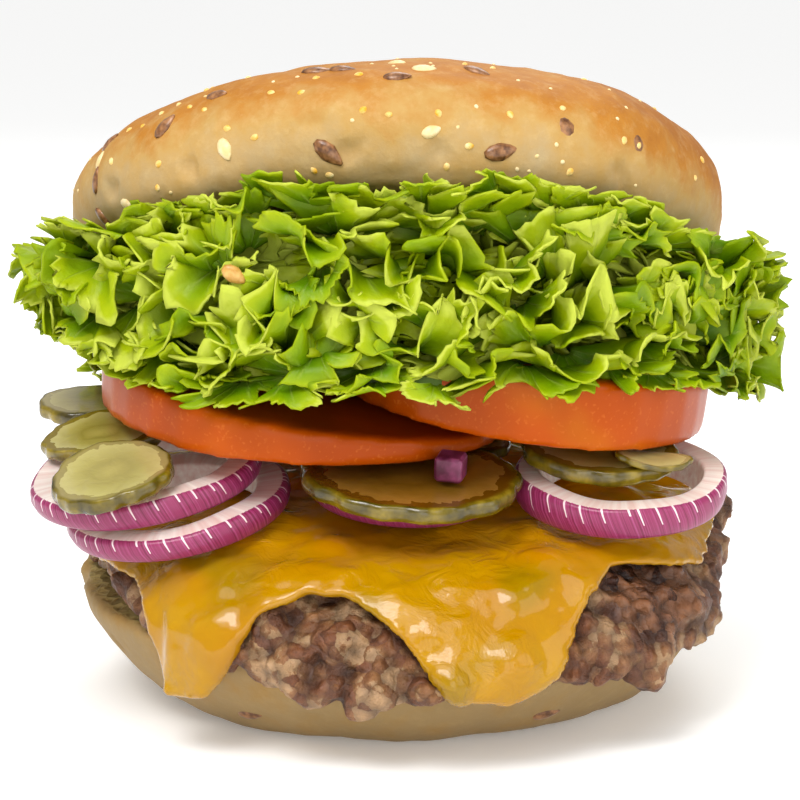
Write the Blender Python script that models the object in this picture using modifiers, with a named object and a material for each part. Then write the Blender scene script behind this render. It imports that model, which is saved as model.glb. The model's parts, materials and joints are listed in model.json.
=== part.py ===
"""A cheeseburger in a seeded bun, stacked as it is served and opened a little at the front.

From the table up: the bun's heel, the beef patty, a melted slice of cheese draped over it,
rings of red onion, slices of pickled cucumber, two slices of tomato, a mass of frilly lettuce
and the bun's crown, which leans back on the lettuce.

The origin is the centre of the heel's flat foot. +Z is up and -Y is the front. Metres.
"""

import math

import bmesh
import bpy
from mathutils import Vector, noise

MM = 0.001

# Driving dimensions, in millimetres and degrees.
TOUCH_GAP = 0.6  # between pieces that rest on each other

BUN_RADIUS = 59.4
HEEL_HEIGHT = 23.0  # at the centre; the cut face falls towards the front
FILLING_TILT = 6.0  # the heel's cut face, the patty and the cheese slope down to the front
HEEL_FOOT_RADIUS = 42.0

PATTY_HEIGHT = 17.3
PATTY_RADIUS = 61.0
LIP_RADIUS = 61.3  # the patty's lip hangs down outside the heel's rim, from here outwards
LIP_DROP = 5.5
PATTY_STEPS = 48  # the cheese has the same, so that their facets follow each other
# The patty's uneven edge: direction, half width, and how far it stands out or in.
PATTY_BULGES = ((-48, 20, 6.0), (-96, 26, 4.0), (-164, 30, -4.5), (6, 20, 0.6), (95, 40, -1.5))
# Where the edge stands up from the heel: direction, half width, and how high.
PATTY_LIFTS = ((6, 18, 8.0), (150, 24, 3.0))

CHEESE_THICKNESS = 2.0
CHEESE_GAP = 1.0  # above the patty, and more round its lumpy edge
CHEESE_REACH = 58.0  # from the centre, along the patty's surface
# Where the melted slice runs down: direction, half width, and how much further it reaches.
CHEESE_RUNS = (
    (-124, 10, 20.0),
    (-76, 14, 17.0),
    (-33, 10, 4.0),
    (22, 9, 9.0),
    (70, 12, 15.0),
    (118, 9, 6.0),
    (162, 10, 12.0),
)

CROWN_HEIGHT = 31.4
CROWN_LEAN = 20.0  # the crown leans back, so that its front rim stands open
CROWN_CENTRE = (0.0, 2.0, 76.0)

LETTUCE_RADIUS = 60.0
LETTUCE_FRILLS = 17


def bell(angle, centre, half_width):
    """A round-topped lobe: 1 in the direction of centre, gone 1.5 half widths away. Degrees."""
    away = (angle - centre + 180) % 360 - 180
    return math.exp(-abs(away / half_width) ** 3)


def total(angle, lobes):
    return sum(amount * bell(angle, centre, width) for centre, width, amount in lobes)


def smooth_step(value):
    value = min(1.0, max(0.0, value))
    return value * value * (3 - 2 * value)


def finish(name, colour, roughness):
    """A Principled material in one linear colour."""
    material = bpy.data.materials.new(name)
    material.use_nodes = True
    shader = material.node_tree.nodes["Principled BSDF"]
    shader.inputs["Base Color"].default_value = (*colour, 1.0)
    shader.inputs["Roughness"].default_value = roughness
    shader.inputs["Metallic"].default_value = 0.0
    return material


def collection(name):
    made = bpy.data.collections.new(name)
    bpy.context.scene.collection.children.link(made)
    return made


def settle(maker, name, material, group):
    """A new object that holds maker's evaluated mesh, which replaces maker."""
    bpy.context.scene.collection.objects.link(maker)
    graph = bpy.context.evaluated_depsgraph_get()
    mesh = bpy.data.meshes.new_from_object(maker.evaluated_get(graph))
    bpy.data.objects.remove(maker)
    mesh.name = name
    mesh.materials.clear()
    mesh.materials.append(material)
    mesh.shade_smooth()
    mesh.set_sharp_from_angle(angle=math.radians(50))
    made = bpy.data.objects.new(name, mesh)
    group.objects.link(made)
    return made


def turned(name, profile, steps, material, group, closed=False):
    """A solid of revolution. The profile, in millimetres, runs from the top down its outer side."""
    mesh = bpy.data.meshes.new(name)
    points = [(radius * MM, 0.0, height * MM) for radius, height in profile]
    edges = [(i, i + 1) for i in range(len(points) - 1)]
    if closed:
        edges.append((len(points) - 1, 0))
    mesh.from_pydata(points, edges, [])
    maker = bpy.data.objects.new(name, mesh)
    screw = maker.modifiers.new("Turn", "SCREW")
    screw.steps = steps
    screw.render_steps = steps
    screw.use_merge_vertices = True
    screw.merge_threshold = 0.00001
    return settle(maker, name, material, group)


def slab(name, radius, thickness, sides, edge, material, group):
    """A round slice with softened edges, from a cylinder and a Bevel. Millimetres."""
    mesh = bpy.data.meshes.new(name)
    shape = bmesh.new()
    bmesh.ops.create_cone(
        shape,
        cap_ends=True,
        segments=sides,
        radius1=radius * MM,
        radius2=radius * MM,
        depth=thickness * MM,
    )
    shape.to_mesh(mesh)
    shape.free()
    maker = bpy.data.objects.new(name, mesh)
    bevel = maker.modifiers.new("Soft edge", "BEVEL")
    bevel.width = edge * MM
    bevel.segments = 1
    bevel.limit_method = "ANGLE"
    bevel.angle_limit = math.radians(50)
    return settle(maker, name, material, group)


def reshape(obj, rule):
    """Moves each vertex to where rule puts it; rule takes and gives millimetres."""
    for vertex in obj.data.vertices:
        vertex.co = Vector(rule(*(vertex.co / MM))) * MM
    obj.data.update()
    return obj


def place(obj, centre, tilt=0.0, roll=0.0, turn=0.0):
    """Sets a piece down: tilt lowers its front, roll lowers its right side, turn spins it."""
    obj.location = Vector(centre) * MM
    obj.rotation_euler = [math.radians(angle) for angle in (tilt, roll, turn)]
    return obj


def rounded(radius, low, high, corner):
    """The right half of a slab's section, top to bottom, with quarter-round corners."""
    points = [(0.0, high)]
    for centre_height, start in ((high - corner, 90), (low + corner, 0)):
        for step in range(4):
            angle = math.radians(start - 30 * step)
            out = radius - corner + corner * math.cos(angle)
            points.append((out, centre_height + corner * math.sin(angle)))
    return points + [(0.0, low)]


def filling_frame():
    """The heel's cut face: what lies on it is modelled flat and leans with this empty."""
    empty = bpy.data.objects.new("filling_frame", None)
    empty.location = (0.0, 0.0, HEEL_HEIGHT * MM)
    empty.rotation_euler = (math.radians(FILLING_TILT), 0.0, 0.0)
    return empty


# The bun


def bun_heel(material, group):
    """The bottom half: a flat foot, a round pale side, and a cut face that falls to the front."""
    foot, top = HEEL_FOOT_RADIUS, HEEL_HEIGHT
    profile = [(0.0, top), (BUN_RADIUS * 0.5, top), (BUN_RADIUS - 2.4, top)]
    profile += [(BUN_RADIUS - 0.6, top - 0.6), (BUN_RADIUS, top - 2.2)]
    for share in (0.9, 0.72, 0.5, 0.3, 0.12):
        profile.append((foot + (BUN_RADIUS - foot) * share, (top - 2.2) * share**1.75))
    profile += [(foot, 0.0), (foot * 0.5, 0.0), (0.0, 0.0)]
    heel = turned("bun_heel", profile, 36, material, group)
    fall = math.tan(math.radians(FILLING_TILT))

    def pressed(x, y, z):
        angle = math.atan2(y, x)
        wave = 1 + 0.007 * math.sin(3 * angle + 0.6) * min(1.0, math.hypot(x, y) / foot)
        return x * wave, y * wave, z * (1 + y * fall * wave / HEEL_HEIGHT)

    return reshape(heel, pressed)


def bun_crown(material, group):
    """The top half: a low dome that rounds in to its cut face, leaning back."""
    height = CROWN_HEIGHT
    profile = [(0.0, height)]
    for step in range(1, 9):
        angle = math.radians(90 * (1 - step / 8))
        out = BUN_RADIUS * math.cos(angle) ** 0.94
        profile.append((out, 12.0 + (height - 12.0) * math.sin(angle)))
    profile += [(BUN_RADIUS - 0.2, 8.0), (BUN_RADIUS - 1.6, 3.6), (BUN_RADIUS - 4.6, 0.7)]
    profile += [(BUN_RADIUS - 8.0, 0.0), (BUN_RADIUS * 0.45, 0.0), (0.0, 0.0)]
    crown = turned("bun_crown", profile, 36, material, group)

    def risen(x, y, z):
        angle = math.atan2(y, x)
        high = z / CROWN_HEIGHT
        wave = 1 + 0.008 * math.sin(2 * angle + 1.0) + 0.006 * math.sin(5 * angle)
        fuller = 1 + 0.09 * high * x / BUN_RADIUS
        return x * wave, y * wave, z * fuller

    reshape(crown, risen)
    return place(crown, CROWN_CENTRE, tilt=-CROWN_LEAN)


# The patty and the cheese on it


def patty_radius(angle):
    return PATTY_RADIUS + total(angle, PATTY_BULGES)


def lip_drop(angle):
    """How far the patty's edge hangs below the heel's cut face; none where it stays on it."""
    return LIP_DROP * smooth_step((patty_radius(angle) - LIP_RADIUS - 0.8) / 2.0)


def patty_skin(angle):
    """The patty's section in one direction, as (radius, height) from the top's middle to the lip."""
    reach = patty_radius(angle) / 63.5
    edge_rise = total(angle, PATTY_LIFTS) - lip_drop(angle)
    section = ((0, 19.0, 0), (13, 18.9, 0), (26, 18.3, 0), (38, 17.0, 0), (48, 14.8, 0))
    section += ((56, 11.3, 0.1), (61, 7.2, 0.4), (63.5, 3.6, 0.9), (63.0, 1.6, 1.0))
    stretch = PATTY_HEIGHT / 19.0
    return [(out * reach, up * stretch + share * edge_rise) for out, up, share in section]


def beef_patty(material, group):
    """A loosely shaped patty: domed, lumpy, its edge hanging over the heel here and there."""
    upper = patty_skin(0)
    lower_count = 5
    profile = list(upper) + [(50.0 - 10.0 * step, 0.0) for step in range(lower_count)]
    profile[-1] = (0.0, 0.0)
    patty = turned("beef_patty", profile, PATTY_STEPS, material, group)
    rows = {round(height, 3): row for row, (_, height) in enumerate(upper)}

    def moulded(x, y, z):
        angle = math.degrees(math.atan2(y, x))
        radius = math.hypot(x, y)
        row = rows.get(round(z, 3))
        if row is None:
            out, up = patty_underside(angle, radius)
        else:
            out, up = patty_skin(angle)[row]
            lump = noise.noise(Vector((x, y, 3 * z)) / 9.0)
            dent = 0.9 * max(0.0, lump) * smooth_step((row - 3) / 3)
            out -= dent
        around = math.radians(angle)
        return out * math.cos(around), out * math.sin(around), up

    return reshape(patty, moulded)


def patty_underside(angle, radius):
    """The edge's lower side and the lip's inner wall, then the flat face on the heel."""
    low = TOUCH_GAP + total(angle, PATTY_LIFTS) - lip_drop(angle)
    edge = patty_radius(angle)
    inner = min(LIP_RADIUS, edge - 1.2)
    if radius > 45:
        return (edge + inner) / 2, low
    if radius > 35:
        return inner, low + 0.3
    if radius > 25:
        return inner - 1.0, max(TOUCH_GAP, low + 0.6)
    return inner * radius / 60, TOUCH_GAP


def cheese_path(angle):
    """What the cheese follows: the patty's section, and past its edge straight down, clear of the heel."""
    path = patty_skin(angle)
    out, low = path[-1]
    clear = max(out, LIP_RADIUS)
    return path + [(clear, low - 0.8), (clear, low - 40.0)]


def along(path, reach):
    """The point and the outward normal at this arc length on a section."""
    for (r0, z0), (r1, z1) in zip(path, path[1:]):
        length = math.hypot(r1 - r0, z1 - z0)
        if reach <= length:
            break
        reach -= length
    share = reach / length
    normal = Vector((-(z1 - z0), r1 - r0)) / length
    return Vector((r0 + (r1 - r0) * share, z0 + (z1 - z0) * share)), normal


def soft_normal(path, reach):
    """The normal averaged over a few millimetres, so that the cheese rounds the patty's edge."""
    mean = Vector((0.0, 0.0))
    for offset in (-4.0, -2.0, 0.0, 2.0, 4.0):
        mean += along(path, max(0.0, reach + offset))[1]
    return mean.normalized()


def cheese_slice(material, group):
    """A flat disc of cheese, draped over the patty and run down where it melted most."""
    thick = CHEESE_THICKNESS
    shares = (0.25, 0.45, 0.58, 0.68, 0.76, 0.84, 0.91, 0.96)
    profile = [(0.0, thick)] + [(share, thick) for share in shares]
    profile += [(0.99, thick * 0.85), (1.0, thick * 0.5), (0.99, thick * 0.15)]
    profile += [(share, 0.0) for share in reversed(shares)] + [(0.0, 0.0)]
    cheese = turned("cheese_slice", profile, PATTY_STEPS, material, group)

    def draped(x, y, z):
        angle = math.degrees(math.atan2(y, x))
        path = cheese_path(angle)
        reach = math.hypot(x, y) * (CHEESE_REACH + total(angle, CHEESE_RUNS))
        spot, _ = along(path, reach)
        gap = CHEESE_GAP + 1.8 * smooth_step((reach - 46) / 8)
        spot += soft_normal(path, reach) * (gap + z)
        around = math.radians(angle)
        return spot.x * math.cos(around), spot.x * math.sin(around), spot.y

    return reshape(cheese, draped)


# The vegetables


def onion_ring(name, radius, wall, height, centre, tilt, roll, material, group):
    """One ring of an onion slice: an upright wall, rounder outside than in."""
    inner = radius - wall
    profile = ((inner + 0.5, height), (radius - 0.8, height), (radius, height * 0.75))
    profile += ((radius + 0.3, height * 0.4), (radius - 0.7, 0.0), (inner + 0.7, 0.0))
    profile += ((inner, height * 0.5),)
    ring = turned(name, profile, 20, material, group, closed=True)

    def grown(x, y, z):
        return x, y * 0.95, z

    reshape(ring, grown)
    return place(ring, centre, tilt, roll)


def onion_dice(material, group):
    """A short square-cut piece of onion, lying between the pickles."""
    piece = slab("onion_dice", 3.4, 4.4, 4, 0.5, material, group)
    return place(piece, ONION_DICE_CENTRE, 10, -4, 30)


def pickle_slice(name, length, width, thickness, centre, tilt, roll, turn, material, group):
    """A slice across a cucumber, cut a little aslant, with a faintly ribbed edge."""
    piece = slab(name, 1.0, thickness, 18, 0.4, material, group)

    def ribbed(x, y, z):
        angle = math.atan2(y, x)
        rib = 1 + 0.02 * math.sin(6 * angle + length)
        slant = 1 - 0.03 * z / thickness
        return x * rib * slant * length / 2, y * rib * slant * width / 2, z

    reshape(piece, ribbed)
    return place(piece, centre, tilt, roll, turn)


def tomato_slice(name, radius, left, right, centre, tilt, roll, material, group):
    """A thick slice, cut a little wedge-shaped, whose skin side bulges."""
    profile = rounded(radius, 0.0, 1.0, 0.12)
    profile.insert(1, (radius * 0.5, 1.0))
    profile.insert(len(profile) - 1, (radius * 0.5, 0.0))
    piece = turned(name, profile, 32, material, group)

    def lobed(x, y, z):
        angle = math.atan2(y, x)
        side = math.sin(math.pi * min(1.0, max(0.0, z)))
        wave = 1 + 0.008 * math.sin(5 * angle + radius) + 0.012 * side
        thickness = left + (right - left) * (0.5 + x / (2 * radius))
        return x * wave, y * wave, z * thickness

    reshape(piece, lobed)
    return place(piece, centre, tilt, roll)


# name, outer radius, wall, height, centre of the lower face, tilt, roll
ONION_RINGS = (
    ("onion_ring_right", 17.7, 4.3, 6.4, (37.9, -31.0, 39.2), 13.0, 0.0),
    ("onion_ring_middle", 17.5, 4.4, 4.2, (1.9, -28.0, 40.2), 11.5, 1.0),
    ("onion_ring_front_left", 19.0, 5.6, 4.8, (-37.9, -30.5, 36.2), 13.0, -9.0),
    ("onion_ring_back_left", 19.7, 4.8, 4.8, (-43.5, -28.5, 41.4), 13.0, -9.0),
)
ONION_DICE_CENTRE = (8.5, -44.5, 47.8)

# name, length, width, thickness, centre, tilt, roll, turn
PICKLES = (
    ("pickle_middle", 37.0, 29.0, 3.4, (1.8, -40.0, 44.5), 12.0, 2.0, 0.0),
    ("pickle_middle_back", 12.0, 14.0, 2.2, (13.6, -19.0, 47.6), 10.0, 2.0, 0.0),
    ("pickle_right_lower", 26.6, 21.6, 3.2, (34.4, -31.6, 47.5), 11.0, 3.0, 0.0),
    ("pickle_right_upper", 13.0, 7.0, 1.2, (43.0, -39.0, 48.0), 12.0, 6.0, 0.0),
    ("pickle_left_front", 20.5, 20.0, 3.2, (-48.2, -43.2, 45.8), 20.0, -11.0, 0.0),
    ("pickle_left_back", 21.0, 14.0, 2.8, (-52.2, -22.6, 49.0), 21.0, -9.0, 0.0),
    ("pickle_left_top", 23.0, 18.0, 3.0, (-54.5, -1.0, 51.6), 8.0, -4.0, 0.0),
)

# name, radius, thickness at the left and right ends, centre of the lower face, tilt, roll
TOMATOES = (
    ("tomato_slice_left", 36.5, 10.5, 2.5, (-16.5, -12.5, 52.0), 5.7, 3.4),
    ("tomato_slice_right", 32.5, 12.0, 12.0, (21.0, -15.5, 54.0), 4.0, 8.0),
)


# The lettuce


def crown_face(y):
    """The height of the crown's cut face above a point this far back."""
    _, centre_y, centre_z = CROWN_CENTRE
    return centre_z - (y - centre_y) * math.tan(math.radians(CROWN_LEAN))


def lettuce_edge(angle):
    """The heap's reach in one direction; it hangs furthest out at both sides."""
    sides = 7.5 * bell(angle, -165, 15) + 7.5 * bell(angle, -17, 19)
    return LETTUCE_RADIUS + sides - 3.0 * bell(angle, 90, 60)


def lettuce_floor(angle, share, y):
    """The heap's lower side: on the tomato in front, on the patty behind, drooping at the right."""
    outer = smooth_step((share - 0.72) / 0.25)
    back = smooth_step((y + 2) / 30)
    lobes = 12.0 * bell(angle, -165, 24) - 9.0 * bell(angle, -17, 22)
    return 60.0 - 10.0 * back + outer * lobes


def lettuce(material, slices, group):
    """A heap of frilly leaves between tomato and crown, as one solid out to its frilly outline."""
    sections = 5
    profile = [(0.0, 1.0), (0.35, 1.0), (0.65, 1.0), (0.85, 0.97), (0.96, 0.85)]
    profile += [(1.0, 0.6), (1.0, 0.35), (0.96, 0.12), (0.9, 0.0)]
    profile += [(0.72, 0.0), (0.4, 0.0), (0.0, 0.0)]
    heap = turned("lettuce", profile, LETTUCE_FRILLS * sections, material, group)

    def frilled(x, y, z):
        around = math.atan2(y, x)
        angle = math.degrees(around)
        share = math.hypot(x, y)
        edge = smooth_step((share - 0.6) / 0.4)
        phase = LETTUCE_FRILLS * around
        pleat = math.sin(phase + 5 * z) + 0.5 * math.sin(7 * around + 2)
        radius = share * lettuce_edge(angle) + 2.2 * edge * pleat
        out_x = radius * math.cos(around)
        out_y = radius * math.sin(around)
        droop = 3.0 * bell(angle, -165, 20) + 10.0 * bell(angle, -17, 22)
        ceiling = crown_face(out_y) - TOUCH_GAP - droop * smooth_step((share - 0.8) / 0.2)
        floor = lettuce_floor(angle, share, out_y)
        floor += 1.5 * edge * math.sin(23 * around)
        height = max(ceiling - floor, 3.0)
        return out_x, out_y, ceiling - (1 - z) * height

    reshape(heap, frilled)
    for piece in slices:
        hollow(heap, piece)
    return heap


def hollow(heap, piece):
    """Presses the shape of a slice, a little enlarged, out of the heap that lies on it."""
    cutter = piece.copy()
    cutter.data = piece.data.copy()
    cutter.name = piece.name + "_cutter"
    swell = cutter.modifiers.new("Gap", "DISPLACE")
    swell.strength = TOUCH_GAP * MM
    swell.mid_level = 0.0
    cutter.hide_render = True
    cutter.display_type = "WIRE"
    bpy.data.collections["cutters"].objects.link(cutter)
    cut = heap.modifiers.new("Room for " + piece.name, "BOOLEAN")
    cut.operation = "DIFFERENCE"
    cut.object = cutter


def clear_scene():
    for obj in list(bpy.data.objects):
        bpy.data.objects.remove(obj)


def main():
    clear_scene()
    group = collection("cheeseburger")
    crust = finish("bread crust", (0.56, 0.33, 0.13), 0.6)
    beef = finish("fried beef", (0.17, 0.085, 0.05), 0.55)
    cheddar = finish("melted cheddar", (0.80, 0.40, 0.02), 0.3)
    onion = finish("red onion", (0.40, 0.08, 0.22), 0.35)
    gherkin = finish("pickled cucumber", (0.30, 0.28, 0.06), 0.3)
    tomato = finish("tomato", (0.72, 0.13, 0.03), 0.3)
    leaf = finish("lettuce leaf", (0.32, 0.52, 0.04), 0.5)

    frame = filling_frame()
    group.objects.link(frame)
    bun_heel(crust, group)
    for piece in (beef_patty(beef, group), cheese_slice(cheddar, group)):
        piece.parent = frame
    for ring in ONION_RINGS:
        onion_ring(*ring, onion, group)
    onion_dice(onion, group)
    for piece in PICKLES:
        pickle_slice(*piece, gherkin, group)
    slices = [tomato_slice(*piece, tomato, group) for piece in TOMATOES]
    collection("cutters")
    lettuce(leaf, slices, group)
    bun_crown(crust, group)


main()
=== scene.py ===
"""A cheeseburger in a seeded bun: its looks, on the frame of its CAD solids.

Each operator makes one piece, or one group of like pieces, in the place of its CAD solids.
"""

import json
import math
import random

import bmesh
import bpy
import numpy as np
from mathutils import Matrix, Vector, noise
from mathutils.bvhtree import BVHTree

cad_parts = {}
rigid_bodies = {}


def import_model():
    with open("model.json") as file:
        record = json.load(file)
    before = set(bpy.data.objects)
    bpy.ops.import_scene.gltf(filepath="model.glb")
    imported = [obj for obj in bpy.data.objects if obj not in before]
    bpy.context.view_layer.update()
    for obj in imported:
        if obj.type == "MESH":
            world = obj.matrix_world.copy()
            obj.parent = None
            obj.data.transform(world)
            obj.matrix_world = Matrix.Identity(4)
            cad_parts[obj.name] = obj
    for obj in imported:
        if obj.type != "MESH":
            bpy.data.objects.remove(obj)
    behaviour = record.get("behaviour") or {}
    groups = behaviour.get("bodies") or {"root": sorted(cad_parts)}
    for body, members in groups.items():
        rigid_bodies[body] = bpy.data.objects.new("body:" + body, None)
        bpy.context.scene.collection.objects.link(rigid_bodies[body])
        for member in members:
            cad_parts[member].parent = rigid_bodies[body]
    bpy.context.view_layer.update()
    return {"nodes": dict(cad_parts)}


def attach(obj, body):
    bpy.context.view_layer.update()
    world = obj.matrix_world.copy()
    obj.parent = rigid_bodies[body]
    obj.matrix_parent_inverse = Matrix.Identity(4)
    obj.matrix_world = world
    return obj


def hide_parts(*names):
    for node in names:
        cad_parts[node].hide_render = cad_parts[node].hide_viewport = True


bl_info = {
    "name": "Cheeseburger",
    "version": (1, 0, 0),
    "blender": (4, 5, 0),
    "location": "View3D > Sidebar > Burger",
    "description": "Makes a cheeseburger in a seeded bun, layer by layer",
    "category": "Add Mesh",
}

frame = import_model()
MM = 0.001


# Helpers for meshes


def deselect():
    for obj in list(bpy.context.selected_objects):
        obj.select_set(False)


def make_active(obj):
    deselect()
    obj.select_set(True)
    bpy.context.view_layer.objects.active = obj


def modify(obj, kind, **settings):
    """Adds a modifier and applies it."""
    make_active(obj)
    modifier = obj.modifiers.new(kind.title(), kind)
    for key, value in settings.items():
        setattr(modifier, key, value)
    bpy.ops.object.modifier_apply(modifier=modifier.name)


def coordinates(obj):
    """The vertices' places in millimetres, as an array."""
    flat = np.empty(len(obj.data.vertices) * 3)
    obj.data.vertices.foreach_get("co", flat)
    return flat.reshape(-1, 3) / MM


def move_to(obj, places):
    obj.data.vertices.foreach_set("co", (places * MM).ravel())
    obj.data.update()


def normals(obj):
    flat = np.empty(len(obj.data.vertices) * 3)
    obj.data.vertices.foreach_get("normal", flat)
    return flat.reshape(-1, 3)


def paint(obj, name, values):
    """Stores one number for each vertex, for the material to read."""
    layer = obj.data.attributes.new(name, "FLOAT", "POINT")
    layer.data.foreach_set("value", np.asarray(values, dtype=np.float32))


def ramp_between(values, low, high):
    """0 below low, 1 above high, and a smooth climb between."""
    share = np.clip((values - low) / (high - low), 0.0, 1.0)
    return share * share * (3 - 2 * share)


def noise_at(places, size, seed=0.0, octaves=1):
    """Soft noise from -1 to 1 whose bumps are about size millimetres wide."""
    shift = Vector((seed * 7.3, seed * 3.1, seed * 5.7))
    if octaves == 1:
        return np.array([noise.noise(Vector(p) / size + shift) for p in places])
    return np.array([noise.fractal(Vector(p) / size + shift, 0.9, 2.1, octaves) for p in places])


def smoothed(obj, rounds):
    """Where the vertices would lie if their bumps were ironed out."""
    places = coordinates(obj)
    flat = np.empty(len(obj.data.edges) * 2, dtype=np.int64)
    obj.data.edges.foreach_get("vertices", flat)
    first, second = flat.reshape(-1, 2).T
    count = np.bincount(first, minlength=len(places)) + np.bincount(second, minlength=len(places))
    count = np.maximum(count, 1)[:, None]
    for _ in range(rounds):
        total = np.zeros_like(places)
        for axis in range(3):
            total[:, axis] = np.bincount(first, places[second, axis], len(places))
            total[:, axis] += np.bincount(second, places[first, axis], len(places))
        places = 0.3 * places + 0.7 * total / count
    return places


def relief(obj, rounds=12):
    """How far each vertex stands out of the smooth shape under it, in millimetres."""
    return np.einsum("ij,ij->i", coordinates(obj) - smoothed(obj, rounds), normals(obj))


def copy_of(node, name):
    """A welded copy of a CAD solid, as a start for a finer piece."""
    obj = bpy.data.objects.new(name, frame["nodes"][node].data.copy())
    bpy.context.scene.collection.objects.link(obj)
    obj.matrix_world = frame["nodes"][node].matrix_world
    obj.data.transform(obj.matrix_world)
    obj.matrix_world = Matrix()
    obj.data.materials.clear()
    shape = bmesh.new()
    shape.from_mesh(obj.data)
    bmesh.ops.remove_doubles(shape, verts=shape.verts, dist=0.02 * MM)
    shape.to_mesh(obj.data)
    shape.free()
    return obj


def finish(obj, material, nodes=(), smooth=True):
    """Hands a finished piece over: its material, its CAD solids and the body it rides on."""
    obj.data.materials.clear()
    obj.data.materials.append(material)
    if smooth:
        obj.data.shade_smooth()
    if nodes:
        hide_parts(*nodes)
    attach(obj, "root")
    deselect()
    return obj


def joined(shapes, name):
    """One object from many bmesh pieces given as (vertices, faces) lists."""
    mesh = bpy.data.meshes.new(name)
    vertices = []
    faces = []
    for points, polygons in shapes:
        start = len(vertices)
        vertices.extend(points)
        faces.extend([tuple(start + i for i in polygon) for polygon in polygons])
    mesh.from_pydata(vertices, [], faces)
    obj = bpy.data.objects.new(name, mesh)
    bpy.context.scene.collection.objects.link(obj)
    return obj


def ball(rings=1):
    """The vertices and faces of a round lump of radius 1."""
    shape = bmesh.new()
    bmesh.ops.create_icosphere(shape, subdivisions=rings, radius=1.0)
    vertices = [vertex.co.copy() for vertex in shape.verts]
    faces = [tuple(vertex.index for vertex in face.verts) for face in shape.faces]
    shape.free()
    return vertices, faces


class Disc:
    """Where a flat round CAD solid lies: its centre, its own axes and its half sizes, in mm."""

    def __init__(self, node):
        places = coordinates(copy_and_drop(node))
        low, high = places.min(axis=0), places.max(axis=0)
        _, _, axes = np.linalg.svd(places - places.mean(axis=0), full_matrices=False)
        up = axes[2] * np.sign(axes[2][2])
        right = np.array([1.0, 0.0, 0.0]) - up[0] * up
        right /= np.linalg.norm(right)
        ahead = np.cross(up, right)
        self.axes = np.array([right, ahead, up])
        local = places @ self.axes.T
        low, high = local.min(axis=0), local.max(axis=0)
        self.centre = ((low + high) / 2) @ self.axes
        self.half = (high - low) / 2

    def out(self, local):
        """Local places, in mm from the centre, as places in the frame."""
        return local @ self.axes + self.centre


def copy_and_drop(node):
    """A stand-in with the solid's mesh, for measuring."""
    obj = frame["nodes"][node]
    mesh = obj.data.copy()
    mesh.transform(obj.matrix_world)

    class Holder:
        data = mesh

    return Holder


# Helpers for materials


def linear(colour):
    """An sRGB hex colour as the linear one that shaders take."""
    parts = [int(colour[i : i + 2], 16) / 255 for i in (1, 3, 5)]
    return tuple(p / 12.92 if p <= 0.04045 else ((p + 0.055) / 1.055) ** 2.4 for p in parts) + (1.0,)


def add(tree, kind, inputs=None, **settings):
    """Adds a node with its settings; an input is a value or the socket that feeds it."""
    made = tree.nodes.new("ShaderNode" + kind)
    for key, value in settings.items():
        setattr(made, key, value)
    for key, value in (inputs or {}).items():
        if isinstance(value, bpy.types.NodeSocket):
            tree.links.new(value, made.inputs[key])
        else:
            made.inputs[key].default_value = value
    return made


def coloured(value):
    """A colour for a socket, from a hex string or from a colour property."""
    return linear(value) if isinstance(value, str) else (*value[:3], 1.0)


def shades(tree, fac, *stops):
    """A colour ramp's output: stops are (position, colour)."""
    made = add(tree, "ValToRGB", {"Fac": fac})
    elements = made.color_ramp.elements
    elements.remove(elements[1])
    elements[0].position = stops[0][0]
    elements[0].color = coloured(stops[0][1])
    for position, colour in stops[1:]:
        elements.new(position).color = coloured(colour)
    return made.outputs["Color"]


# A pattern's Scale counts its features in a metre of Object coordinates: 900 gives grains of about 1.1 mm


def new_material(name):
    material = bpy.data.materials.new(name)
    material.use_nodes = True
    tree = material.node_tree
    return material, tree, tree.nodes["Principled BSDF"]


# The bun: wheat dough, baked, its crust floury and its cut faces toasted crumb


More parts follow.
